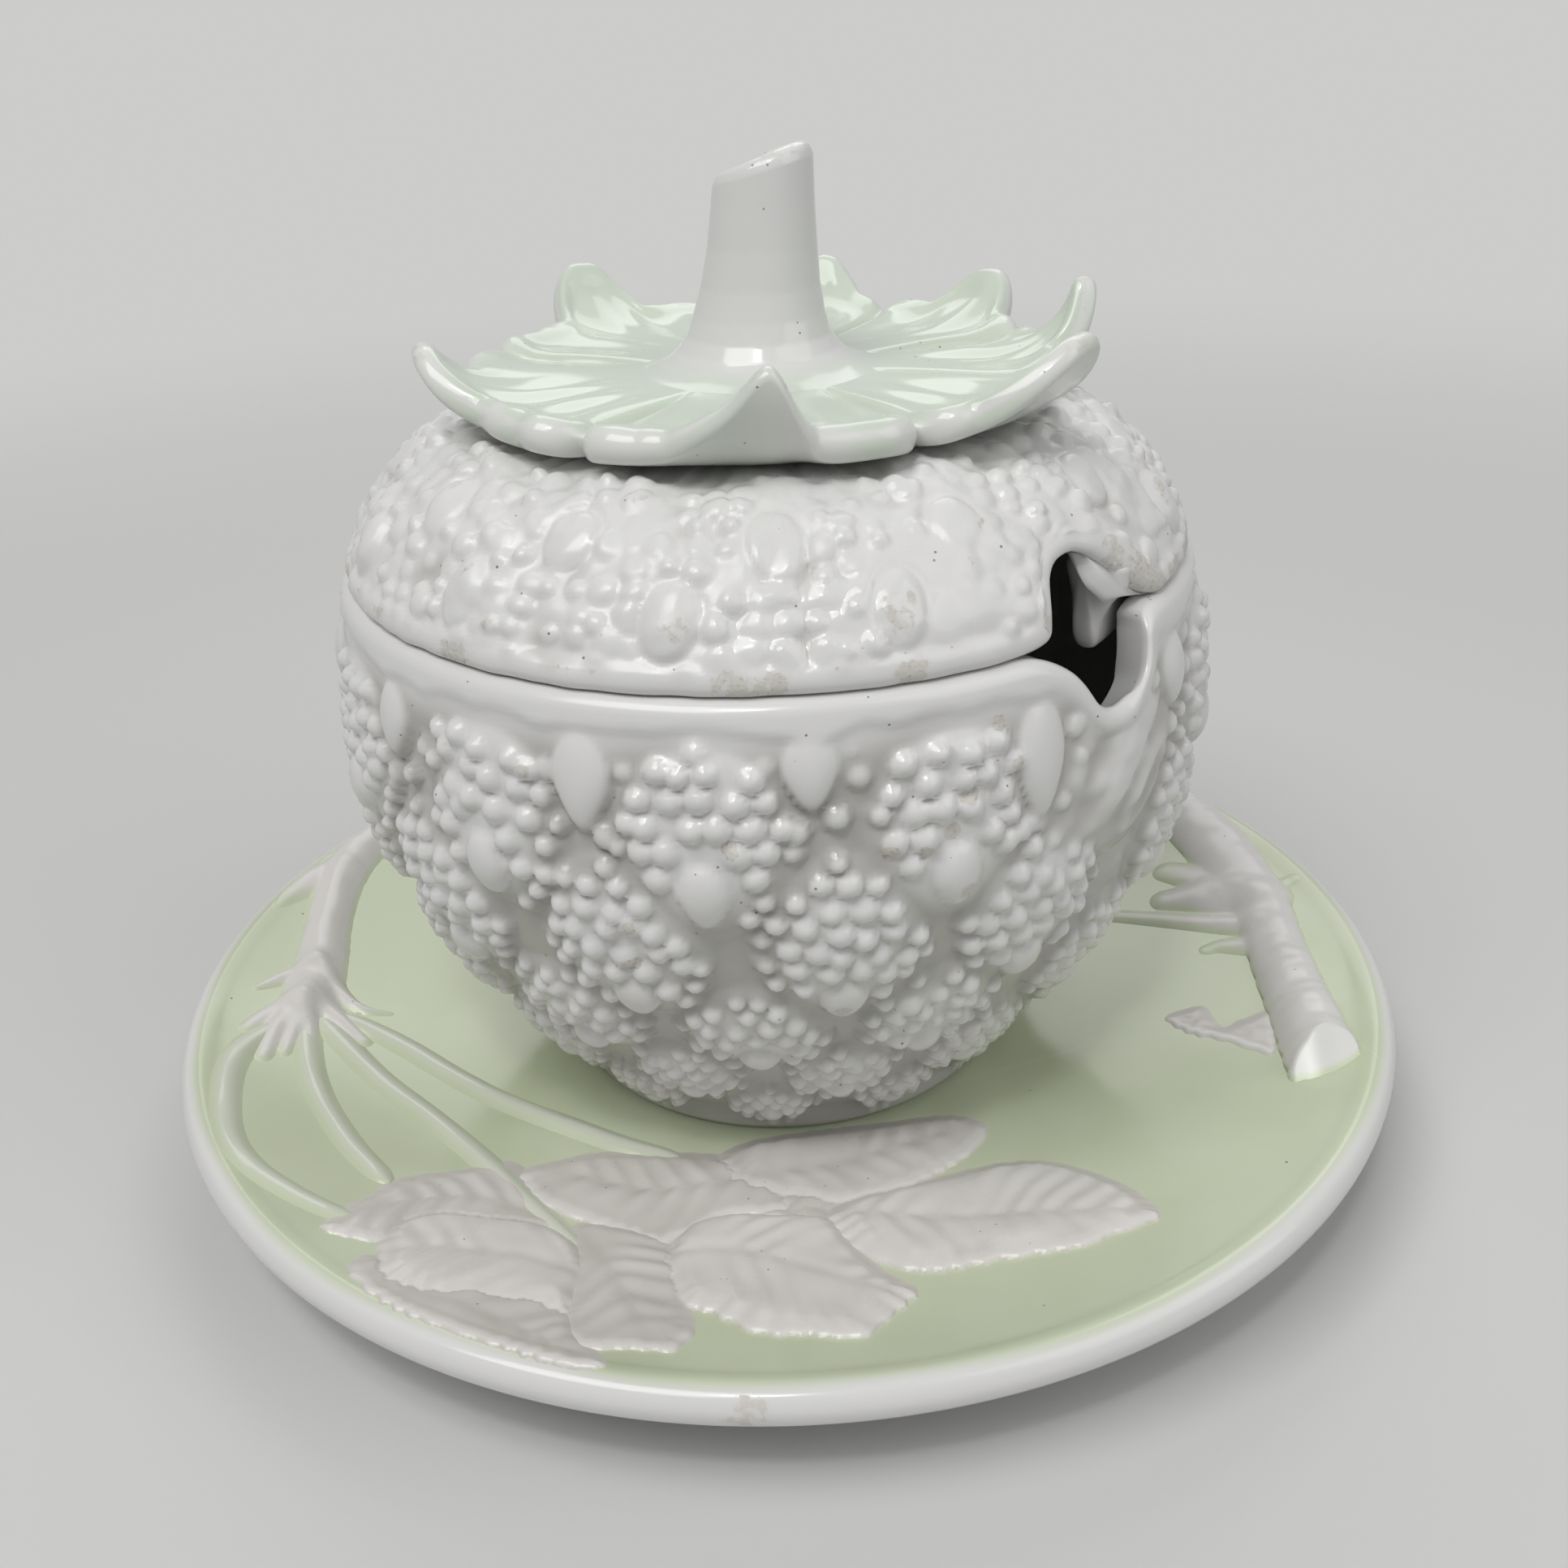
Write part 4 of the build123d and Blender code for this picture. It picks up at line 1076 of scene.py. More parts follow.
# Stalk: a flared base, a lean towards the right of the photograph and a slanted, rounded cut
def make_stalk():
    columns = 120
    turn = np.radians(np.linspace(-180, 180, columns + 1))
    lean_direction = math.radians(relief_turn)
    heights = np.array([-0.8, 0.0, 0.5, 0.8, 1.2, 1.9, 2.9, 4.4, 6.5, 9.5, 13.5, 18.0, 24.5])
    radii = np.array([14.2, 13.9, 13.3, 12.3, 11.2, 9.9, 8.8, 7.8, 7.1, 6.4, 5.85, 5.45, 5.0])
    leans = np.array([0.1, 0.1, 0.1, 0.1, 0.1, 0.15, 0.15, 0.2, 0.35, 0.6, 0.95, 1.2, 1.6])
    side, front = np.cos(turn - lean_direction), np.sin(lean_direction - turn)
    wobble = 1 + 0.012 * np.cos(3 * turn + 0.7)

    def cut(share):
        """Height of the slanted cut at a share of the way out from its middle."""
        return 22.35 + share * (1.35 * side + 0.55 * front) + 0.45 * (1 - share**2) * (side * 0.5 + 0.2)

    rows = []
    for share in np.linspace(0, 1, 5)[:-1]:
        rows.append((np.full(turn.shape, -0.8), 13.2 * share + 0 * turn))
    edge = 1.35
    for share in np.linspace(0, 1, 90):
        height = -0.8 + (cut(1.0) - edge + 0.8) * share
        rows.append((height, np.interp(height, heights, radii) * wobble))
    full = np.interp(cut(1.0), heights, radii) * wobble
    for step in range(1, 9):
        bend = math.pi / 2 * step / 8
        rows.append((cut(1.0) - edge * (1 - math.sin(bend)), full - edge * (1 - math.cos(bend))))
    for share in np.linspace(1, 0, 9)[1:]:
        rows.append((cut(share), (full - edge) * share))
    table = np.zeros((len(rows), columns + 1, 3))
    for row, (height, radius) in enumerate(rows):
        lean = np.interp(height, heights, leans)
        table[row, :, 0] = lean * math.cos(lean_direction) + radius * np.cos(turn)
        table[row, :, 1] = lean * math.sin(lean_direction) + radius * np.sin(turn)
        table[row, :, 2] = stalk_z + height
    height = table[..., 2] - stalk_z
    cut_edge = smooth(1.4, 0.6, cut(1.0)[None] - height) * smooth(3.2, 4.2, np.hypot(table[..., 0], table[..., 1]))
    marks = {
        "relief": np.full(table.shape[:2], 0.75),
        "worn": 0.42 * cut_edge,
        "mint": smooth(3.0, 0.9, height),
    }
    piece = rolled("stalk_handle", table, marks)
    finish_piece(piece, "lid", "stalk", white_glaze)


make_stalk()


# Saucer
def dish_z(radius):
    """Height of the dish of the saucer, which carries on under the rim."""
    run = np.clip(radius - well_radius, 0, None)
    return well_z + dish_arc_radius - np.sqrt(dish_arc_radius**2 - run**2)


dish_end = 70.6
rim_curve = curve_through(
    ((dish_end, float(dish_z(np.array(dish_end)))), (71.8, 14.25), (72.9, 14.5), (74.2, 14.0), (74.95, 12.5),
     (74.6, 10.9), (73.3, 10.05), (71.8, 9.6)),
    30,
)
rim_top = rim_curve[: int(np.argmax(rim_curve[:, 0])) + 1]


def saucer_top(radius):
    """Height of the saucer's upper face, over its dish and its rim."""
    return np.where(radius < dish_end, dish_z(radius), np.interp(radius, rim_top[:, 0], rim_top[:, 1]))


def make_saucer():
    columns = 420
    degrees = np.linspace(-180, 180, columns + 1)
    steps = np.concatenate([np.linspace(8, 32, 7), np.linspace(33, dish_end, 48)])
    section = [(0.0, well_z)] + [(r, float(dish_z(np.array(r)))) for r in steps]
    section += [tuple(p) for p in rim_curve[1:]]
    section += [(r, float(dish_z(np.array(r))) - 4.05) for r in np.linspace(70.0, 46.0, 16)]
    section += [(44.5, 3.15), (44.05, 2.4), (44.0, 1.0), (43.7, 0.25), (43.1, 0.0), (39.9, 0.0), (39.3, 0.25),
                (39.0, 1.0), (38.9, 2.6), (38.2, 3.0), (25.0, 3.0), (12.0, 3.0), (0.0, 3.0)]
    section = np.array(section)
    radius, height = revolve_rows(section, columns + 1)
    upper = np.arange(len(section))[:, None] <= np.argmax(section[:, 0])
    table = round_points(np.repeat(degrees[None], len(section), axis=0), radius, height)
    spread = np.repeat(degrees[None], len(section), axis=0)
    rim_line = 73.5 + 0.5 * round_waves(spread, radius * 0, 72, 30.0, seed=62)
    white_mark = np.where(upper, smooth(rim_line - 1.1, rim_line + 0.7, radius), 1.0)
    photo_side = np.exp(-((wrap(spread + 47.2) / 2.6) ** 2))
    worn_mark = 0.56 * photo_side * smooth(72.8, 74.4, radius) * smooth(9.8, 11.4, height)
    craze = smooth(40, 10, np.abs(wrap(spread - 5.0))) * upper
    marks = {"white": white_mark, "worn": worn_mark, "craze": craze * 1.0}
    piece = rolled("saucer_dish", table, marks)
    finish_piece(piece, "saucer", "saucer", green_glaze)


make_saucer()


# Relief on the saucer. Places are in millimetres in plan, as the photograph shows the saucer
# with its own right on +X, and are turned by relief_turn into the frame.
def turned(x, y, height):
    """Points of the relief turned into the frame."""
    turn = math.radians(relief_turn)
    return np.stack(
        [x * math.cos(turn) - y * math.sin(turn), x * math.sin(turn) + y * math.cos(turn), height], axis=-1
    )


def rod(name, path, widths, heights, seed=0):
    """A soft raised ridge on the saucer along a path, whose sides run out into the dish."""
    line = curve_through(path, 150)
    heading = np.gradient(line, axis=0)
    heading = heading / np.linalg.norm(heading, axis=1)[:, None]
    share = np.linspace(0, 1, 150)
    half = np.interp(share, np.linspace(0, 1, len(widths)), widths)[:, None] / 2
    tall = np.interp(share, np.linspace(0, 1, len(heights)), heights)[:, None]
    end = np.minimum(share, 1 - share)[:, None] * np.linalg.norm(np.diff(line, axis=0), axis=1).sum()
    taper = np.sqrt(1 - (1 - np.clip(end / (2.0 * half), 0, 1)) ** 2)
    across = np.concatenate([np.linspace(-1, 1, 17), np.linspace(1, -1, 7)[1:]])[None]
    under = (np.arange(across.size) > 16)[None]
    x = line[:, :1] - heading[:, 1:] * half * taper * across
    y = line[:, 1:] + heading[:, :1] * half * taper * across
    bell = np.clip(1 - across**2, 0, 1) ** 1.5
    uneven = 1 + 0.06 * waves(x, y, 9.0, seed=seed)
    rise = np.where(under, -0.12 - 0.3 * (1 - across**2), tall * bell * uneven - 0.12) * taper
    table = turned(x, y, saucer_top(np.hypot(x, y)) + rise)
    return rolled(name, table, {"white": np.where(under, 0, 0.50 * bell**2) * taper})


def nearest_on(x, y, line):
    """Distance from each point to a path, and its share of the way along it."""
    best = np.full(x.shape, 1e9)
    share = np.zeros(x.shape)
    runs = len(line) - 1
    for place, ((ax, ay), (bx, by)) in enumerate(zip(line[:-1], line[1:])):
        run_x, run_y = bx - ax, by - ay
        part = np.clip(((x - ax) * run_x + (y - ay) * run_y) / (run_x**2 + run_y**2), 0, 1)
        away = np.hypot(x - ax - part * run_x, y - ay - part * run_y)
        share = np.where(away < best, (place + part) / runs, share)
        best = np.minimum(best, away)
    return best, share


def ridges(x, y, paths, fullness=1.3):
    """Height of soft ridges that run into each other, negative beyond their sides. A ridge is a
    path, widths and heights, and a low fullness gives it a round back."""
    total = np.zeros_like(x)
    beyond = np.full(x.shape, 9.0)
    for path, widths, heights in paths:
        away, share = nearest_on(x, y, curve_through(path, 30))
        half = np.interp(share, np.linspace(0, 1, len(widths)), widths) / 2
        tall = np.interp(share, np.linspace(0, 1, len(heights)), heights)
        total += (tall * np.clip(1 - (away / half) ** 2, 0, 1) ** fullness) ** 3
        beyond = np.minimum(beyond, away - half)
    return np.cbrt(total) - np.clip(beyond, 0, 1)


def signed_distance(x, y, outline):
    """Distance into a closed outline, negative outside, and the way along the outline."""
    best = np.full(x.shape, 1e9)
    way = np.zeros(x.shape)
    inside = np.zeros(x.shape, bool)
    along = 0.0
    for (ax, ay), (bx, by) in zip(outline, np.roll(outline, -1, axis=0)):
        run_x, run_y = bx - ax, by - ay
        length = math.hypot(run_x, run_y)
        share = np.clip(((x - ax) * run_x + (y - ay) * run_y) / max(length**2, 1e-9), 0, 1)
        away = np.hypot(x - ax - share * run_x, y - ay - share * run_y)
        nearer = away < best
        best = np.where(nearer, away, best)
        way = np.where(nearer, along + share * length, way)
        if ay != by:
            crosses = ((ay > y) != (by > y)) & (x < run_x * (y - ay) / run_y + ax)
            inside ^= crosses
        along += length
    return np.where(inside, best, -best), way


def leaf_height(x, y, outline, midrib, thick, level, tooth=0.5, seed=0):
    """Height of one leaf over the saucer, negative outside it: a soft far edge, a thick toothed
    near one, a shallow crease along the middle and soft folds from it to the edges."""
    edge = curve_through(outline, 150, closed=True)[:-1]
    into, way = signed_distance(x, y, edge)
    near_side = smooth(-0.25, 0.65, np.gradient(into, y[1, 0] - y[0, 0], axis=0))
    saw = 0.5 + 0.5 * np.cos(2 * math.pi * way / 2.5 + 2.2 * np.sin(way * 0.45 + seed))
    uneven = 0.65 + 0.35 * np.sin(way * 0.31 + 2.0 * seed)
    into = into - tooth * (saw - 0.4) * uneven * (0.30 + 0.70 * near_side)
    line = curve_through(midrib, 30)
    from_rib, _ = nearest_on(x, y, line)
    axis = (line[-1] - line[0]) / np.linalg.norm(line[-1] - line[0])
    along = (x - line[0, 0]) * axis[0] + (y - line[0, 1]) * axis[1]
    near_wall = np.clip((into + 0.35) / 1.25, 0, 1)
    near_wall = np.sqrt(1 - (1 - near_wall) ** 2) * smooth(0.0, 0.22, near_wall)
    far_wall = smooth(-0.95, 2.4, into)
    wall = near_wall * near_side + far_wall * (1 - near_side)
    drift = 1.7 * waves(x, y, 12.0, seed=seed + 20)
    ribs = np.cos((along - 0.62 * from_rib) * 2 * math.pi / 3.5 + drift)
    shown = smooth(-0.9, 0.5, waves(x, y, 15.0, seed=seed + 30)) * smooth(0.4, 3.2, into)
    blade = thick * (0.74 + 0.30 * smooth(0.0, 4.0, into))
    blade = blade + 0.12 * ribs * shown - 0.17 * np.exp(-((from_rib / 1.1) ** 2)) * smooth(0.0, 2.0, into)
    blade = blade + 0.20 * waves(x, y, 9.5, seed=seed) * smooth(0.0, 3.0, into) + level * smooth(0.0, 2.5, into)
    # Painted highlight along the near edge, the edge towards the front
    bright = near_side * np.exp(-(((into - 0.5) / 0.7) ** 2))
    return blade * wall + np.clip(into + 0.35 + 0.6 * (1 - near_side), -1, 0), wall, bright


def patch(name, x, y, rise, marks):
    """A part of the grid, where something rises from the saucer, as a thin shell on it. Its
    edge lies a little under the saucer's surface."""
    radius = np.hypot(x, y)
    rise = np.minimum(rise, (73.3 - radius) * 1.4)
    table = turned(x, y, saucer_top(radius) + rise - 0.12)
    piece = rolled(name, table, {**marks, "covered": rise})
    values = np.empty(len(piece.data.vertices), np.float32)
    piece.data.attributes["covered"].data.foreach_get("value", values)
    bpy.ops.object.mode_set(mode="EDIT")
    bpy.ops.mesh.select_mode(type="VERT")
    bpy.ops.mesh.select_all(action="DESELECT")
    bpy.ops.object.mode_set(mode="OBJECT")
    piece.data.vertices.foreach_set("select", values < -0.32)
    bpy.ops.object.mode_set(mode="EDIT")
    bpy.ops.mesh.delete(type="VERT")
    bpy.ops.object.mode_set(mode="OBJECT")
    if sum(face.normal.z * face.area for face in piece.data.polygons) < 0:
        bpy.ops.object.mode_set(mode="EDIT")
        bpy.ops.mesh.select_all(action="SELECT")
        bpy.ops.mesh.flip_normals()
        bpy.ops.object.mode_set(mode="OBJECT")
    thicken = piece.modifiers.new("thickness", "SOLIDIFY")
    thicken.thickness = 0.4 * MM
    thicken.offset = -1
    bpy.ops.object.modifier_apply(modifier=thicken.name)
    return piece


def plan_grid(places, step):
    """A grid over the places, with a small margin."""
    places = np.array(places)
    low, high = places.min(axis=0) - 4, places.max(axis=0) + 4
    columns, rows = (int(n) for n in (high - low) / step)
    return np.meshgrid(np.linspace(low[0], high[0], columns + 1), np.linspace(low[1], high[1], rows + 1))


def leaf_patch(name, leaves, seed=0):
    """Leaves that overlap, as one patch on the saucer."""
    x, y = plan_grid([place for leaf in leaves for place in leaf["outline"]], 0.25)
    height = np.full(x.shape, -1.0)
    bright = np.zeros(x.shape)
    for number, leaf in enumerate(leaves):
        rise, wall, edge = leaf_height(x, y, seed=seed + number, **leaf)
        # The painted highlight of a near edge is kept where that leaf lies on top
        below = np.clip(height, 0, None) * 0.75 * wall * (rise > height - 0.3)
        bright = np.where(rise > height - below, edge, bright)
        height = np.maximum(height - below, rise)
    # High parts and the painted highlight of the near edges take the white; low parts take the painted shade
    relief = np.clip(0.75 * smooth(0.45, 1.45, height) + 0.9 * bright, 0, 1)
    marks = {"relief": relief, "green": 1 - smooth(-0.05, 0.32, height)}
    return patch(name, x, y, height, marks)


left_leaves = (
    dict(outline=((-49.4, -47.2), (-48.5, -43.0), (-46.4, -39.7), (-43.9, -35.6), (-37.7, -33.0), (-32.3, -31.0),
                  (-29.0, -34.5), (-26.5, -39.6), (-24.7, -44.0), (-32.0, -47.0), (-40.0, -48.5), (-45.5, -48.5)),
         midrib=((-27.9, -41.4), (-35.7, -38.9), (-45.0, -41.7), (-48.3, -45.9)), thick=0.85, level=0.0),
    dict(outline=((-44.5, -55.6), (-43.8, -51.3), (-35.4, -52.7), (-27.6, -53.6), (-22.0, -58.5), (-20.2, -63.6),
                  (-18.0, -69.4), (-21.7, -69.9), (-26.6, -67.6), (-33.5, -64.3), (-39.8, -60.7)),
         midrib=((-37.0, -57.8), (-28.8, -61.9), (-20.2, -68.1)), thick=0.80, level=0.0),
    dict(outline=((-42.8, -51.6), (-43.4, -47.0), (-42.1, -43.8), (-38.2, -41.5), (-32.7, -41.9), (-29.3, -42.2),
                  (-25.7, -43.5), (-22.5, -46.4), (-21.0, -50.7), (-21.4, -54.1), (-21.8, -58.1), (-22.8, -60.3),
                  (-25.7, -58.8), (-30.3, -58.0), (-34.8, -57.8), (-38.4, -57.3), (-41.3, -55.5)),
         midrib=((-22.4, -52.4), (-29.2, -50.3), (-36.3, -49.8), (-42.0, -51.4)), thick=1.05, level=0.35),
)
middle_leaves = (
    dict(outline=((-23.5, -60.5), (-24.0, -52.4), (-24.6, -44.6), (-21.8, -42.2), (-16.0, -43.6), (-12.4, -46.5),
                  (-10.6, -52.1), (-10.4, -58.2), (-10.0, -61.7), (-10.6, -64.3), (-11.8, -66.4), (-16.1, -66.1),
                  (-21.2, -65.9)),
         midrib=((-21.8, -45.0), (-17.5, -55.0), (-13.6, -65.2)), thick=0.85, level=0.0),
    dict(outline=((-13.9, -48.9), (-12.9, -44.7), (-10.5, -42.0), (-6.6, -41.0), (-2.6, -41.3), (1.9, -41.7),
                  (4.6, -43.0), (6.4, -47.0), (9.1, -52.8), (12.1, -56.7), (11.0, -59.1), (8.5, -62.2),
                  (6.6, -64.7), (3.5, -64.7), (1.3, -64.0), (-2.7, -63.7), (-5.3, -62.2), (-8.5, -59.3),
                  (-11.3, -57.8), (-12.9, -53.5)),
         midrib=((-12.7, -48.9), (-5.5, -49.1), (1.6, -52.9), (9.7, -58.0)), thick=1.05, level=0.35),
)
right_leaves = (
    dict(outline=((-3.0, -38.3), (3.0, -37.2), (8.0, -38.0), (12.5, -39.0), (12.0, -42.4), (6.0, -44.8),
                  (0.5, -44.0), (-4.0, -42.0)),
         midrib=((-2.0, -41.0), (4.0, -41.2), (10.5, -40.6)), thick=0.80, level=0.0),
    dict(outline=((-31.0, -33.0), (-26.1, -30.5), (-22.0, -29.3), (-16.2, -29.6), (-9.3, -30.4), (-3.0, -32.0),
                  (-0.5, -36.1), (-1.0, -41.2), (-7.0, -42.0), (-11.0, -45.0), (-14.3, -46.9), (-17.8, -45.2),
                  (-22.0, -42.8), (-25.7, -40.6), (-29.0, -37.8)),
         midrib=((-5.1, -35.2), (-15.3, -37.1), (-23.6, -34.4)), thick=0.85, level=0.0),
    dict(outline=((-8.5, -31.3), (-5.1, -28.6), (1.3, -27.2), (10.4, -26.1), (18.6, -25.1), (22.6, -27.1),
                  (21.7, -30.5), (19.3, -33.3), (14.8, -36.8), (11.1, -39.0), (6.0, -40.5), (2.0, -39.5),
                  (-3.0, -37.9), (-6.6, -35.6)),
         midrib=((-5.1, -35.2), (6.3, -33.5), (20.4, -27.8)), thick=0.95, level=0.12),
    dict(outline=((3.4, -42.2), (6.5, -39.2), (12.2, -37.6), (17.4, -36.1), (22.7, -34.8), (27.9, -34.8),
                  (32.5, -37.5), (36.6, -42.2), (38.4, -47.5), (36.5, -49.5), (32.5, -50.6), (29.9, -51.9),
                  (25.2, -52.3), (20.4, -52.8), (15.6, -53.6), (12.4, -53.4), (9.2, -51.6), (6.0, -48.3)),
         midrib=((5.9, -42.5), (16.5, -44.9), (26.2, -45.6), (37.4, -47.6)), thick=1.05, level=0.25),
)
small_leaf = (
    dict(outline=((47.6, -8.4), (50.8, -7.2), (52.9, -7.6), (53.4, -10.6), (54.0, -12.8), (55.5, -12.0),
                  (57.2, -11.7), (59.8, -11.4), (59.4, -14.9), (57.8, -20.6), (56.1, -19.3), (53.0, -15.6),
                  (49.6, -12.7)),
         midrib=((48.6, -9.6), (53.5, -13.4), (57.6, -18.4)), thick=0.6, level=0.0, tooth=0.4),
)


def make_leaves():
    for name, leaves, seed in (
        ("left_leaves", left_leaves, 71),
        ("middle_leaves", middle_leaves, 75),
        ("right_leaves", right_leaves, 79),
        ("small_leaf", small_leaf, 83),
    ):
        piece = leaf_patch(name + "_relief", leaves, seed=seed)
        finish_piece(piece, "saucer", name, leaf_glaze)


make_leaves()


def cane_rise(x, y):
    """Height of the cane with its knuckle, its arm and the flat slanted cut at its end."""
    body = ridges(x, y, ((
        ((4.0, 72.0), (20.0, 69.5), (34.0, 63.5), (46.0, 54.0), (54.5, 44.0), (59.5, 34.5), (62.4, 25.0),
         (64.1, 15.8), (64.3, 7.5), (63.7, -1.9), (63.3, -10.0), (62.8, -17.0), (62.1, -26.5)),
        (6.0, 6.6, 7.0, 7.2, 7.4, 7.8, 8.8, 7.6, 7.4, 7.8, 8.4),
        (0.3, 1.3, 1.7, 1.9, 2.1, 2.5, 2.2, 2.1, 2.6, 3.5, 4.3),
    ),), fullness=0.66)
    arms = ridges(x, y, (
        (((64.5, 11.5), (61.1, 14.1), (57.6, 16.4), (53.6, 17.4)), (9.0, 8.8, 8.0, 5.5), (2.1, 1.8, 1.4, 0.8)),
        (((62.0, 7.5), (53.0, 12.7), (45.0, 16.5), (38.6, 18.4)), (5.0, 4.0, 3.4, 3.0), (1.2, 0.8, 0.6, 0.35)),
        (((63.0, 13.0), (59.0, 20.0), (55.0, 23.8)), (7.5, 7.0, 5.0), (1.8, 1.2, 0.6)),
        (((64.5, 11.5), (67.7, 13.8), (69.4, 14.3)), (5.0, 4.2, 3.0), (1.3, 0.8, 0.4)),
        (((61.5, 3.0), (58.0, 4.5), (56.0, 4.5)), (5.0, 4.0, 2.8), (1.0, 0.7, 0.4)),
    ), fullness=0.9)
    both = np.cbrt(np.clip(body, 0, None) ** 3 + np.clip(arms, 0, None) ** 3)
    rise = np.where(both > 0, both, np.maximum(body, arms))
    wrinkles = np.sin(y * 2.1 + 0.6 * (x - 62.0) + 1.5 * waves(x, y, 8.0, seed=93))
    wrinkles = wrinkles * smooth(6.0, -2.0, y) * smooth(-0.6, 0.6, waves(x, y, 6.0, seed=94))
    bark = 1 + 0.04 * waves(x, y, 3.6, seed=91) + 0.09 * waves(x, y, 11.0, seed=92) + 0.022 * wrinkles
    cut = (y + 27.8 - 0.26 * (x - 62.0)) * 0.95 - 0.055 * (x - 62.6) ** 2
    return np.minimum(np.where(rise > 0, rise * bark, rise), cut), cut < rise * bark


def make_rods():
    x, y = plan_grid(((4.0, 72.0), (69.0, 14.0), (63.0, -26.0)), 0.30)
    rise, on_cut = cane_rise(x, y)
    # Low sides take the painted shade; the top and the cut face are lightened towards white as a painted highlight
    marks = {
        "relief": np.maximum(smooth(-0.8, 1.6, rise), on_cut),
        "pale": np.maximum(0.6 * smooth(0.4, 2.0, rise), on_cut),
        "green": 1 - smooth(0.10, 1.2, rise),
    }
    finish_piece(patch("cane_relief", x, y, rise, marks), "saucer", "cane", leaf_glaze)
    knot = (-61.3, -2.0)
    x, y = plan_grid(((-66.0, -15.0), (10.0, 71.0), (-52.0, 0.0)), 0.34)
    rise = ridges(x, y, (
        (((9.0, 70.6), (-8.0, 69.6), (-28.0, 62.5), (-44.0, 53.0), (-54.0, 44.5), (-60.4, 36.1), (-62.7, 28.0),
          (-62.9, 18.6), (-62.1, 9.6), knot),
         (4.5, 5.2, 5.6, 6.0, 6.2, 6.4, 6.6, 8.4), (0.3, 1.3, 1.6, 1.7, 1.8, 1.9, 2.0, 2.3)),
        (((-62.6, 30.0), (-66.4, 25.0), (-70.0, 18.2)), (6.0, 5.0, 3.0), (1.2, 0.8, 0.3)),
        (((-61.8, 6.6), (-65.1, 3.0), (-68.2, -0.4)), (4.4, 3.4, 1.6), (1.7, 1.1, 0.4)),
        (((-61.6, -0.5), (-65.0, -5.6), (-67.2, -9.4)), (5.2, 4.4, 2.6), (2.0, 1.5, 0.5)),
        (((-61.8, -2.2), (-63.5, -8.3), (-64.0, -14.6)), (5.2, 4.4, 2.6), (2.0, 1.5, 0.6)),
        (((-61.3, -3.0), (-61.6, -8.6), (-61.9, -13.0)), (4.4, 3.6, 2.0), (1.9, 1.4, 0.5)),
        (((-61.0, -3.0), (-60.2, -7.0), (-59.2, -11.4)), (4.4, 3.4, 2.6), (1.9, 1.3, 0.6)),
        (((-60.6, 5.0), (-57.8, 1.0), (-55.0, -1.2), (-51.4, -1.4)), (3.6, 3.0, 2.4, 1.4), (1.3, 1.2, 0.9, 0.3)),
        (((-60.6, -1.6), (-57.0, -4.6), (-53.4, -8.2)), (5.4, 4.2, 2.8), (1.9, 1.4, 0.6)),
    ))
    rise = np.where(rise > 0, rise * (1 + 0.08 * waves(x, y, 5.0, seed=95)), rise)
    # Low sides take the painted shade of leaf_shade
    marks = {"relief": smooth(-0.5, 1.3, rise), "green": 1 - smooth(0.10, 0.95, rise)}
    finish_piece(patch("leaf_stem_relief", x, y, rise, marks), "saucer", "leaf_stem", leaf_glaze)
    stalk_paths = (
        ((-62.6, -6.0), (-66.0, -12.3), (-66.7, -17.9), (-65.3, -25.5), (-62.8, -32.5), (-59.3, -37.3),
         (-54.7, -40.8), (-49.9, -43.5), (-46.7, -44.4)),
        ((-61.0, -5.0), (-59.2, -12.3), (-57.2, -18.0), (-54.3, -23.8), (-49.8, -30.8), (-44.6, -37.0)),
        ((-59.9, -4.0), (-55.3, -9.4), (-50.2, -15.5), (-43.4, -22.2), (-37.8, -28.2), (-33.4, -33.5),
         (-29.6, -38.7), (-25.6, -43.8), (-22.6, -48.0)),
        ((-58.5, -3.0), (-53.1, -5.4), (-47.6, -8.9), (-40.7, -14.6), (-34.3, -19.4), (-26.2, -24.3),
         (-19.4, -28.3), (-12.4, -31.6)),
    )
    for number, places in enumerate(stalk_paths, start=1):
        piece = rod(f"leaf_stalk_{number}_relief", places, (4.4, 4.2, 4.0, 4.0, 3.6), (1.15, 1.0, 0.95, 0.95, 0.8),
                    seed=130 + number)
        finish_piece(piece, "saucer", f"leaf_stalk_{number}", green_glaze)


make_rods()


# Floor, light and camera
def make_stage():
    """A pale floor that fades into the pale world round it."""
    bpy.ops.object.select_all(action="DESELECT")
    bpy.ops.mesh.primitive_plane_add(size=4, location=(0, 0, 0))
    floor = bpy.context.active_object
    floor.name = "floor"
    s = new_shader("floor_paint")
    color = s.mix(s.noise(3.0, 2.0), rgb(0.80, 0.80, 0.795), rgb(0.815, 0.815, 0.81))
    away = s.add("ShaderNodeVectorMath", {"operation": "LENGTH"}, out="Value", Vector=s.coordinates)
    floor.data.materials.append(
        s.surface(color, 0.55 + 0.05 * s.noise(30.0), s.noise(300.0), depth=0.00002, Alpha=1 - away.step(0.20, 0.52))
    )


make_stage()


def lamp(name, place, aim, size, power, tint):
    bpy.ops.object.light_add(type="AREA", location=place)
    light = bpy.context.active_object
    light.name = name
    light.data.shape = "RECTANGLE"
    light.data.size, light.data.size_y = size
    light.data.energy = power
    light.data.color = tint
    direction = (Matrix.Translation(aim).translation - light.location).to_track_quat("-Z", "Y")
    light.rotation_euler = direction.to_euler()


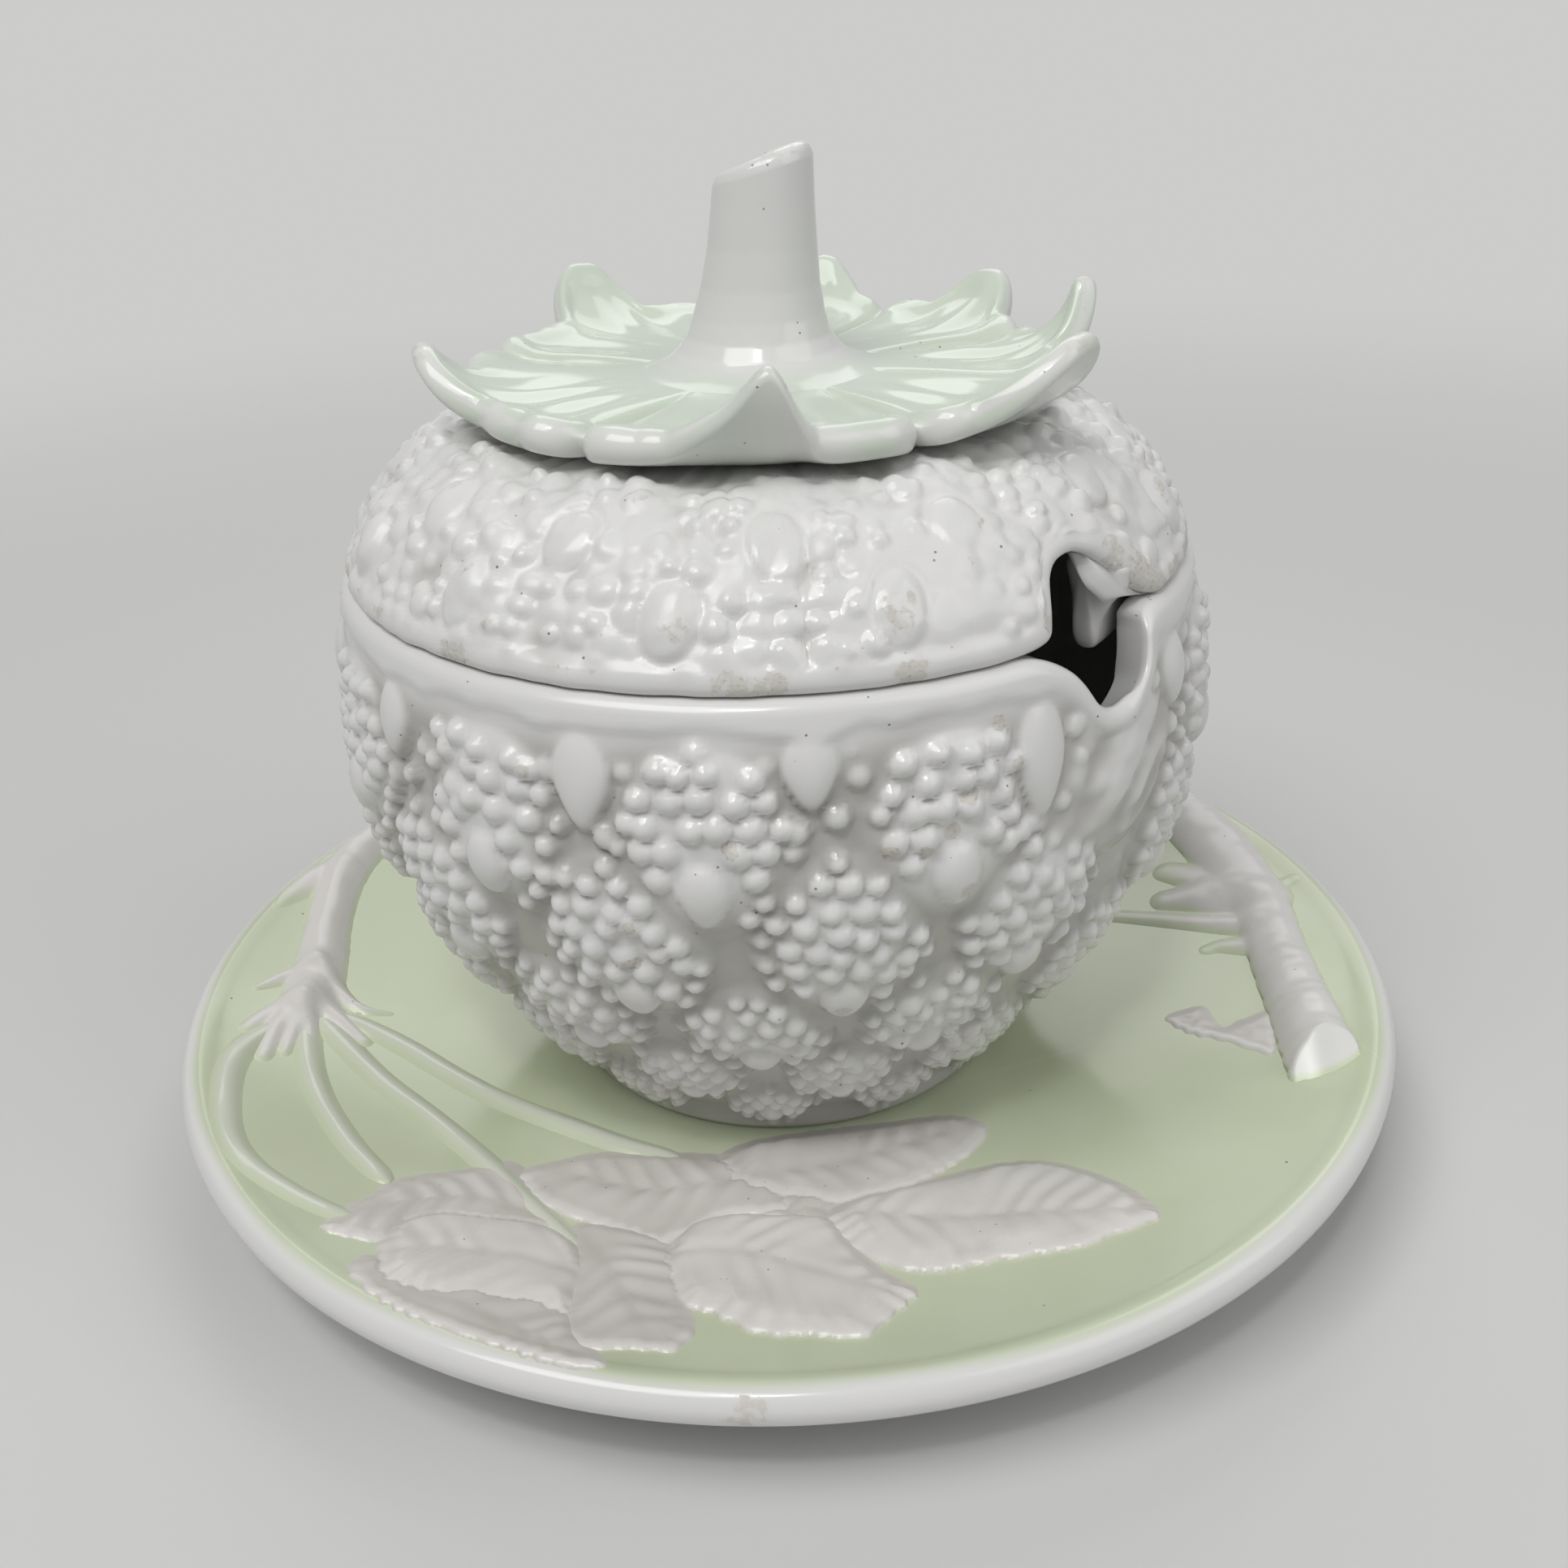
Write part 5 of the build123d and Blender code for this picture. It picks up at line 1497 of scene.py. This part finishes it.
lamp("key", (0.06, -0.60, 1.00), (0, 0, 0.05), (0.75, 0.6), 6.8, (1.0, 0.995, 0.985))
lamp("window", (0.30, -0.40, 0.80), (0, 0, 0.06), (0.10, 0.07), 0.9, (1.0, 1.0, 1.0))
lamp("fill", (0.80, 0.30, 0.70), (0, 0, 0.05), (0.9, 0.9), 3.1, (1.0, 1.0, 1.0))
lamp("back", (-0.55, 0.60, 0.85), (0, 0, 0.05), (0.8, 0.6), 2.4, (1.0, 1.0, 1.0))


def make_world():
    """Soft even light, and a pale background where the camera looks past the floor."""
    world = bpy.data.worlds.new("studio")
    bpy.context.scene.world = world
    s = Shader(world, "ShaderNodeOutputWorld")
    camera, glossy, clear = (
        s.add("ShaderNodeLightPath", out=f"Is {kind} Ray") for kind in ("Camera", "Glossy", "Transmission")
    )
    color = s.mix(camera + glossy + clear, (0.185, 0.185, 0.185, 1.0), rgb(0.80, 0.80, 0.797))
    light = s.add("ShaderNodeBackground", Color=color, Strength=1.0)
    s.tree.links.new(light.socket, s.output.inputs["Surface"])


make_world()


def make_camera():
    """The photograph's camera: its place, its tilt and its slight roll."""
    tilt, roll = 0.4668, -0.041
    forward = np.array([0, math.cos(tilt), -math.sin(tilt)])
    up = np.array([0, math.sin(tilt), math.cos(tilt)])
    right = np.array([1.0, 0, 0])
    right, up = (
        math.cos(roll) * right + math.sin(roll) * up,
        -math.sin(roll) * right + math.cos(roll) * up,
    )
    turn = math.radians(relief_turn)
    spin = np.array([[math.cos(turn), -math.sin(turn), 0], [math.sin(turn), math.cos(turn), 0], [0, 0, 1]])
    columns = [spin @ v for v in (right, up, -forward)]
    data = bpy.data.cameras.new("photo_camera")
    data.sensor_width = 36
    data.lens = 39.72
    camera = bpy.data.objects.new("photo_camera", data)
    bpy.context.scene.collection.objects.link(camera)
    matrix = Matrix.Identity(4)
    for column, axis in enumerate(columns):
        for row in range(3):
            matrix[row][column] = float(axis[row])
    matrix.translation = (0.1378, -0.1296, 0.1342)
    camera.matrix_world = matrix
    bpy.context.scene.camera = camera


make_camera()
bpy.context.scene.view_settings.view_transform = "Standard"
